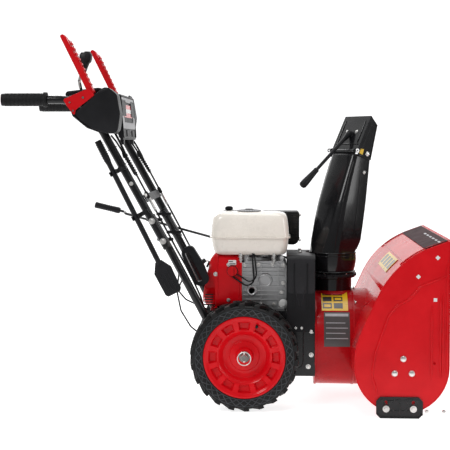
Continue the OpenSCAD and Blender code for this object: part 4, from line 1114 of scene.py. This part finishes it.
def on_line(l, y):
    """Point on the handle's line, l above the fold bolt."""
    return Vector((-249 - 0.484 * l, y, 512 + 0.875 * l))


def tool_at(l):
    """Point on the clean-out tool's shaft."""
    return Vector((-262 - 0.448 * (l - 40), -226, 452 + 0.894 * (l - 40)))


TILT, TOOL_TILT = radians(-28.9), radians(-26.6)


def tilted(p, origin, tilt=TILT):
    """Point in axes turned with the handle, about an origin."""
    x, y, z = p
    c, t = cos(tilt), sin(tilt)
    return Vector((origin[0] + x * c + z * t, origin[1] + y, origin[2] - x * t + z * c))


def upper_tube(s, side):
    """Upper tube to the grip, with the tool's clips on the right one."""
    m = Build()
    path = arc_path([on_line(-25, s * UPPER_Y), on_line(378, s * UPPER_Y), (-480, s * 215, 920),
                     (-530, s * GRIP_Y, GRIP_Z), (-664, s * GRIP_Y, GRIP_Z)], 60, 10)
    m.tube(resample(path, 12), TUBE_R, 28)
    m.tube([on_line(l, s * UPPER_Y) for l in (-25.8, -24, -20)], [11, 12.9, 12.9], 24)
    if s < 0:
        for l in (190, 340):
            o = tool_at(l)
            ring = [(-12, 14), (-12, -12), (-8.4, -12), (-8.4, 0)]
            ring += [(8.4 * cos(radians(a)), 8.4 * sin(radians(a))) for a in range(170, 5, -10)]
            ring += [(8.4, 0), (8.4, -12), (12, -12), (12, 14)]
            m.rings([[tilted((x, y, z), o) for x, y in ring] for z in (-7, 7)])
            foot = ((-12, 9.5), (40, 9.5), (40, 24), (26, 24), (26, 14), (-12, 14))
            m.rings([[tilted((x, y, z), o) for x, y in foot] for z in (-6.8, 6.8)])
    piece("upper_tube_look_" + side, m, "black_paint", "handle", ("upper_tube_" + side,), smooth=50,
          slot="black_paint")


def lower_tube(s, side):
    """Lower tube bent in to the frame, with its own bolts."""
    m = Build()
    path = arc_path([on_line(86, s * LOWER_Y), on_line(-42, s * LOWER_Y), (-80, s * 151, 190)], 70, 10)
    m.tube(resample(path, 12), TUBE_R, 28)
    m.tube([on_line(l, s * LOWER_Y) for l in (82, 86, 87)], [12.8, 12.8, 10.5], 24)
    for x, z in ((-100, 228), (-83, 196)):
        m.rod((x, s * 150, z), (x, s * 138, z), 6)
        m.rod((x, s * 162.8, z), (x, s * 164.6, z), 9, 8)
    piece("lower_tube_look_" + side, m, "black_paint", "chassis", ("lower_tube_" + side,), smooth=50,
          slot="black_paint")


def tube_fixings(s, side):
    """Bolts outside, wing knobs inside."""
    for body, l in (("chassis", 0), ("handle", 70)):
        p = on_line(l, 0)
        m = Build().screw((p.x, s * 211.4, p.z), (0, s, 0), 7.2)
        if body == "handle":
            m.screw(tilted((18.2, s * UPPER_Y, 0), on_line(148, 0)), (cos(TILT), 0, -sin(TILT)), 5.6)
            m.screw(on_line(200, 0) + Vector((0, s * 207.5, 0)), (0, s, 0), 4.6)
        piece("tube_bolts_%s_%s" % (body, side), m, "zinc", body, smooth=30)
        m = Build().lathe((p.x, s * 139, p.z), (0, s, 0), [(4.4, 0), (9.8, 0), (10.4, 3), (10.4, 9),
                (9.6, 16), (4.4, 16.2)], 28)
        m.slab(arcs([(p.x - 25, p.z - 5), (p.x + 25, p.z - 5), (p.x + 25, p.z + 5),
                     (p.x - 25, p.z + 5)], 4), s * 135.2, s * 147)
        piece("wing_knob_%s_%s" % (body, side), m, "black_plastic", body, bevel=1, smooth=35)


def grip(s, side):
    """Grip with crossing ridges and a collar."""
    profile = [(0.05, -726.9), (11, -726.6), (16, -724.6), (18.4, -720), (18.7, -712), (18.4, -660),
               (18.7, -612), (18.9, -605), (18.2, -603), (19, -601.6), (22.2, -600.4), (22.6, -597),
               (22.4, -593), (21, -590.6), (13, -590.2), (13, -600), (0.05, -600)]
    m = Build().lathe((0, s * GRIP_Y, GRIP_Z), (1, 0, 0), profile, 48)
    for turn in (-1, 1):
        for i in range(11):
            line = []
            for k, x in enumerate(spaced(-712, -612, 22)):
                a = i * 0.5712 + turn * k * 0.135
                line.append((x, s * GRIP_Y + 18.5 * cos(a), GRIP_Z + 18.5 * sin(a)))
            m.tube(line, 0.95, 6)
    for x in (-716, -608):
        m.lathe((x, s * GRIP_Y, GRIP_Z), (1, 0, 0), [(18, -1.6), (19.5, -0.6), (19.5, 0.6), (18, 1.6)], 48)
    piece("grip_look_" + side, m, "rubber", "handle", smooth=45, slot="rubber")


def lever(s, side):
    """Hems, scallops' edge, bolts and foot plate of a clutch lever."""
    m = Build()

    def strip(z):
        return -462 - (z - 963) * 80 / 170

    for y in (249, 279):
        m.tube([(strip(z) + 13.6, s * y, z) for z in range(966, 1122, 6)], 1.5, 8)
    for z in range(985, 1118, 15):
        m.tube([(strip(z) + 14.5, s * y, z) for y in (248.4, 252, 276, 279.6)], [1.5, 3.6, 3.6, 1.5], 12)
    piece("lever_scallops_" + side, m, "red_plastic", "lever_" + side, smooth=50, slot="red_plastic")
    m = Build()
    m.screw((-478, s * 285.4, 945), (0, s, 0), 3.6, washer=False)
    piece("lever_pivot_" + side, m, "iron", "handle", smooth=30)
    m = Build()
    for x, z in ((-518, 931), (-508, 906)):
        m.screw((x, s * 285.4, z), (0, s, 0), 3, washer=False)
    piece("lever_screws_" + side, m, "iron", "lever_" + side, smooth=30)
    # three-cornered plate at the lever's foot
    m = Build()
    m.slab(arcs([(-538, 940), (-463, 972), (-443, 953), (-500, 909), (-504, 891), (-528, 922)], 5),
           s * 283, s * 285.4)
    piece("lever_plate_" + side, m, "red_plastic", "lever_" + side, bevel=0.6)


def console_cheek(s, side):
    """Moulded cheek of the console outside the tube."""
    m = Build()
    front = -368 if s < 0 else -390
    cheek = arcs([(-443, 955), (-412, 981), (front - 10, 956), (front, 897), (front - 8, 839),
                  (-412, 839), (-452, 854), (-488, 880), (-504, 898)], 22, 5)
    inner = [(-430 + (x + 430) * 0.95, 905 + (z - 905) * 0.95) for x, z in cheek]
    m.rings([[(x, s * y, z) for x, z in o] for o, y in ((cheek, 281.3), (inner, 282.8))])
    # its rim, which leaves room for the lever
    m.rings([[(x, s * 224, z), (x, s * 281.2, z), (u, s * 281.2, w), (u, s * 224, w)]
             for (x, z), (u, w) in list(zip(cheek, inner))[9:42]])
    piece("console_cheek_" + side, m, "black_plastic", "handle", bevel=1.5, smooth=40)


def cable_look():
    """Clutch cables with boots and springs, thin cables and the console's harness."""
    route = [(-412, -172, 834), (-396, -174, 815), (-367, -178, 770), (-330, -180, 708), (-297, -180, 646),
             (-264, -180, 586), (-235, -180, 532), (-211, -178, 486), (-184, -172, 436),
             (-159, -164, 384), (-138, -152, 334), (-126, -140, 290), (-119, -131, 256),
             (-114, -127, 246)]
    m = Build()
    both = []
    for s in (-1, 1):
        line = [Vector((x, y if s < 0 else -y - 4, z)) for x, y, z in route]
        both.append(line)
        m.cord(line, 26, 8, 2.9, steps=4)
    o = piece("cables", m, "rubber", None, ("clutch_cables",), smooth=60, slot="rubber", ride=False)
    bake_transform(o)
    for line, side in zip(both, ("right", "left")):
        m, springs, ends = Build(), Build(), Build()
        a, b = line[2], line[3]
        u = (b - a).normalized()
        # corrugated boot, ferrule and return spring along the cable
        p, radii = [], []
        for k in range(33):
            p.append(a + u * (k * 2.1))
            radii.append((7.6 if k % 4 < 2 else 5.4) - k * 0.05)
        m.tube(p, radii, 18)
        m.tube([a - u * 16, a - u * 2, a + u * 1], [4.4, 8.4, 8.4], 18)
        c, d = line[4], line[5]
        w = (d - c).normalized()
        m.tube([c - w * 18, c - w * 16, c + w * 2, c + w * 4], [3.4, 5.6, 5.6, 3.4], 18)
        piece("cable_boot_" + side, m, "rubber", "handle", smooth=50)
        side_v = w.cross(Vector((0, 1, 0))).normalized()
        other = w.cross(side_v)
        springs.tube([c + w * (6 + 34 * i / 150) + 4.6 * (side_v * cos(i * 0.5) + other * sin(i * 0.5))
                      for i in range(151)], 0.9, 6)
        ends.tube([c + w * 40, c + w * 42, c + w * 47, c + w * 48], [3.2, 5, 5, 3.2], 16)
        springs.add(ends.v, ends.f)
        piece("cable_spring_" + side, springs, "zinc", "handle", smooth=50)
    m = Build()
    # thin cables that drop behind the right wheel
    for line in ([(-205, -150, 420), (-211, -150, 356), (-185, -146, 325), (-150, -142, 308),
                  (-112, -134, 290)],
                 [(-190, -150, 400), (-212, -150, 350), (-200, -148, 290), (-170, -144, 240),
                  (-140, -140, 215), (-112, -134, 200)]):
        m.cord(line, 30, 8, 2.4, sides=8, steps=5)
    piece("low_cables", m, "rubber", "chassis", smooth=50)
    m = Build()
    # harness from the console, tied along the right tube
    m.cord([(-402, -160, 842), (-384, -176, 812), (-372, -186, 790), (-352, -188, 742), (-336, -190, 714)],
           30, 8, 3.6)
    m.cord([(-402, 150, 842), (-380, 170, 806), (-362, 184, 770), (-352, 188, 742)], 30, 8, 3.2)
    for l in (262, 322):
        o = on_line(l, -UPPER_Y)
        m.tube([tilted((14 * cos(a), 14 * sin(a), 0), o) for a in circle(24)], 1.3, 6, closed=True)
    piece("harness", m, "rubber", "handle", smooth=50)


def console_look():
    """Bezel, frame and badge of the front panel."""
    def front(z, d):
        """X of the panel at height z, raised by d."""
        return -387 + 9 * (958 - z) / 134 + d

    def plate(y, z0, z1, r, d0, d1):
        """Rounded plate on the panel, y to each side of the middle."""
        outline = arcs([(-y, z0), (y, z0), (y, z1), (-y, z1)], r)
        return Build().rings([[(front(z, d), u, z) for u, z in outline] for d in (d0, d1)])

    m = Build()
    outer, inner = (arcs([(-w, z0), (w, z0), (w, z1), (-w, z1)], r)
                    for w, z0, z1, r in ((140, 856, 954, 12), (104, 876, 940, 8)))
    steps = ((outer, -1), (outer, 2.4), (inner, 2.4), (inner, -1))
    m.rings([[(front(z, d), y, z) for y, z in o] for o, d in steps], caps=False, closed=True)
    piece("console_bezel", m, "grey_plastic", "handle", bevel=0.8)
    m = Build()
    outline = arcs([(-148, 828), (148, 828), (148, 958), (-148, 958)], 12)
    m.tube([(front(z, 1.2), y, z) for y, z in outline], 2.2, 8, closed=True)
    for y in (-60, 60):
        m.tube([(front(z, 1.2), y, z) for z in (832, 852)], 1.6, 8)
    piece("console_frame", m, "black_plastic", "handle", smooth=50)
    piece("console_badge", plate(90, 892, 932, 8, 0.2, 1.4), "label_red", "handle", smooth=30)
    piece("console_badge_bar", plate(70, 906, 919, 5, 1.2, 1.9), "label_white", "handle", smooth=30)


def console_sides():
    """Leaf-shaped beads on the console's ends."""
    leaf = arcs([(-541, 962), (-519, 895), (-477, 859), (-440, 846), (-393, 843), (-401, 958),
                 (-440, 973)], 16)
    long = arc_path([(-530, 0, 948), (-498, 0, 916), (-450, 0, 898), (-402, 0, 905)], 40)
    short = arc_path([(-510, 0, 905), (-470, 0, 884), (-400, 0, 880)], 40)
    m = Build()
    for s in (-1, 1):
        m.tube([(x, s * 222.2, z) for x, z in leaf], 2.0, 8, closed=True)
        for line, r in ((long, 1.6), (short, 1.4)):
            m.tube([(p.x, s * 222, p.z) for p in line], r, 8)
    piece("console_beads", m, "black_plastic", "handle", smooth=60)


def console_back():
    """Blank cards on the operator's side of the console."""
    def back(z, d):
        """X of the console's operator side at height z, raised by d."""
        return -546 + (966 - z) * 24 / 74 - d

    m = Build()
    for y0, y1 in ((40, 190), (-190, -90)):
        card = arcs([(y0, 908), (y1, 908), (y1, 952), (y0, 952)], 6)
        m.rings([[(back(z, d), y, z) for y, z in card] for d in (-0.4, 0.9)])
    piece("console_cards", m, "label_silver", "handle", smooth=30)
    m = Build()
    for y, w in ((52, 22), (84, 22), (116, 22), (148, 22), (-182, 34), (-136, 34)):
        field = ((y, 916), (y + w, 916), (y + w, 944), (y, 944))
        m.rings([[(back(z, d), u, z) for u, z in field] for d in (0.8, 1.3)])
    piece("console_card_fields", m, "label_dark", "handle", smooth=30)


def shift_look():
    """Faceted knob of the shift rod and the sleeve below it."""
    m = Build()
    m.rings([[(x + c, y - 60, z) for x, y in rounded_rect(-a, a, -b, b, r, 2)]
             for z, c, a, b, r in ((1030, -518, 8, 8, 5), (1046, -514, 10, 10, 6), (1062, -511, 13, 12, 6),
                                   (1068, -510, 18, 15, 7), (1076, -509, 19.5, 16, 7),
                                   (1090, -508, 19, 15.5, 7), (1097, -508, 15, 12, 6))])
    piece("shift_knob", m, "black_plastic", "shifter", bevel=0.8, smooth=25)
    m = Build()
    m.tube([(-530, -60, 1008), (-522, -60, 1032)], 5.4, 16)
    m.tube([(-526.5, -60, 985), (-530.2, -60, 1007)], 4.9, 16)
    piece("shift_sleeve", m, "zinc", "shifter", smooth=50)


def crank_look():
    """Rod of the chute crank with its worm end, and its grip."""
    start, end = Vector((-430, 266, 566)), Vector((285, 84, 391))
    arm, tip = Vector((-438, 302, 570)), Vector((-540, 302, 594))
    e = (start - end).normalized()
    d = (tip - arm).normalized()
    m = Build().tube([end - e * 14, end - e * 12, end, start - e * 30], 4, 18)
    m.tube(resample(arc_path([start - e * 32, start, arm, tip], 11, 8), 6), 4.45, 18)
    w = e.cross(Vector((0, 0, 1))).normalized()
    v = e.cross(w)
    m.tube([end - e * (13 - 46 * i / 120) + 5.4 * (w * cos(i * 0.42) + v * sin(i * 0.42))
            for i in range(121)], 1.5, 8)
    piece("crank_rod", m, "black_paint", "crank", ("chute_crank",), smooth=50, slot="black_plastic")
    m = Build().tube([arm + d * 15.5, arm + d * 17, arm + d * 24, arm + d * 50, arm + d * 90, tip + d * 1,
                      tip + d * 2.8], [6, 9.6, 11.2, 10, 10.4, 10.8, 7], 28)
    for k in range(7):
        c = arm + d * (32 + 8 * k)
        m.tube([c, c + d, c + d * 2.6, c + d * 3.6], [9.9, 10.9, 10.9, 9.9], 28)
    piece("crank_grip", m, "black_plastic", "crank", smooth=45)


def starter_look():
    """Rope from the starter's eye to the grip."""
    m = Build()
    m.tube([(-119, -78, 438), (-122, -92, 440), (-126, -104, 441.5), (-130, -108, 442)], 1.8, 8)
    o = piece("starter_rope", m, "label_white", None, smooth=60, ride=False)
    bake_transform(o)


def tool_look():
    """Ribs on the clean-out tool."""
    m = Build()
    a, b = tool_at(385), tool_at(449)
    u = (b - a).normalized()
    for k in range(7):
        c = a + u * (6 + 7.4 * k)
        m.tube([c, c + u, c + u * 3, c + u * 4], [9.9, 11.2, 11.2, 9.9], 20)
    m.tube([a - u * 14, a - u * 2, a], [8.1, 10, 10], 20)
    o = tool_at(0)
    for x in (-12, 0, 12):
        m.tube([tilted((x, -4.3, z), o, TOOL_TILT) for z in (-60, -50, 0, 8)], [0.4, 1.6, 1.6, 0.4], 8)
    piece("tool_ribs", m, "black_plastic", "tool", smooth=45)


for s, side in SIDES:
    for look in (upper_tube, lower_tube, tube_fixings, grip, lever, console_cheek):
        look(s, side)
cable_look()
for look in (console_look, console_sides, console_back, shift_look, crank_look, starter_look, tool_look):
    look()

# softer edges where the real parts are moulded
for node, width in (("recoil_grip", 3.2), ("console_shell", 2.0), ("muffler", 2.0), ("air_cleaner", 3.0),
                    ("blower_housing", 2.5), ("recoil_cover", 1.6),
                    ("belt_cover", 2.0), ("shift_lever", 1.6), ("cleanout_tool", 1.4),
                    ("clutch_lever_right", 1.2), ("clutch_lever_left", 1.2),
                    ("console_fascia", 1.2), ("scraper_blade", 0.8)):
    NODES[node].modifiers["bevel"].width = width / 1000
    NODES[node].modifiers["bevel"].segments = 3
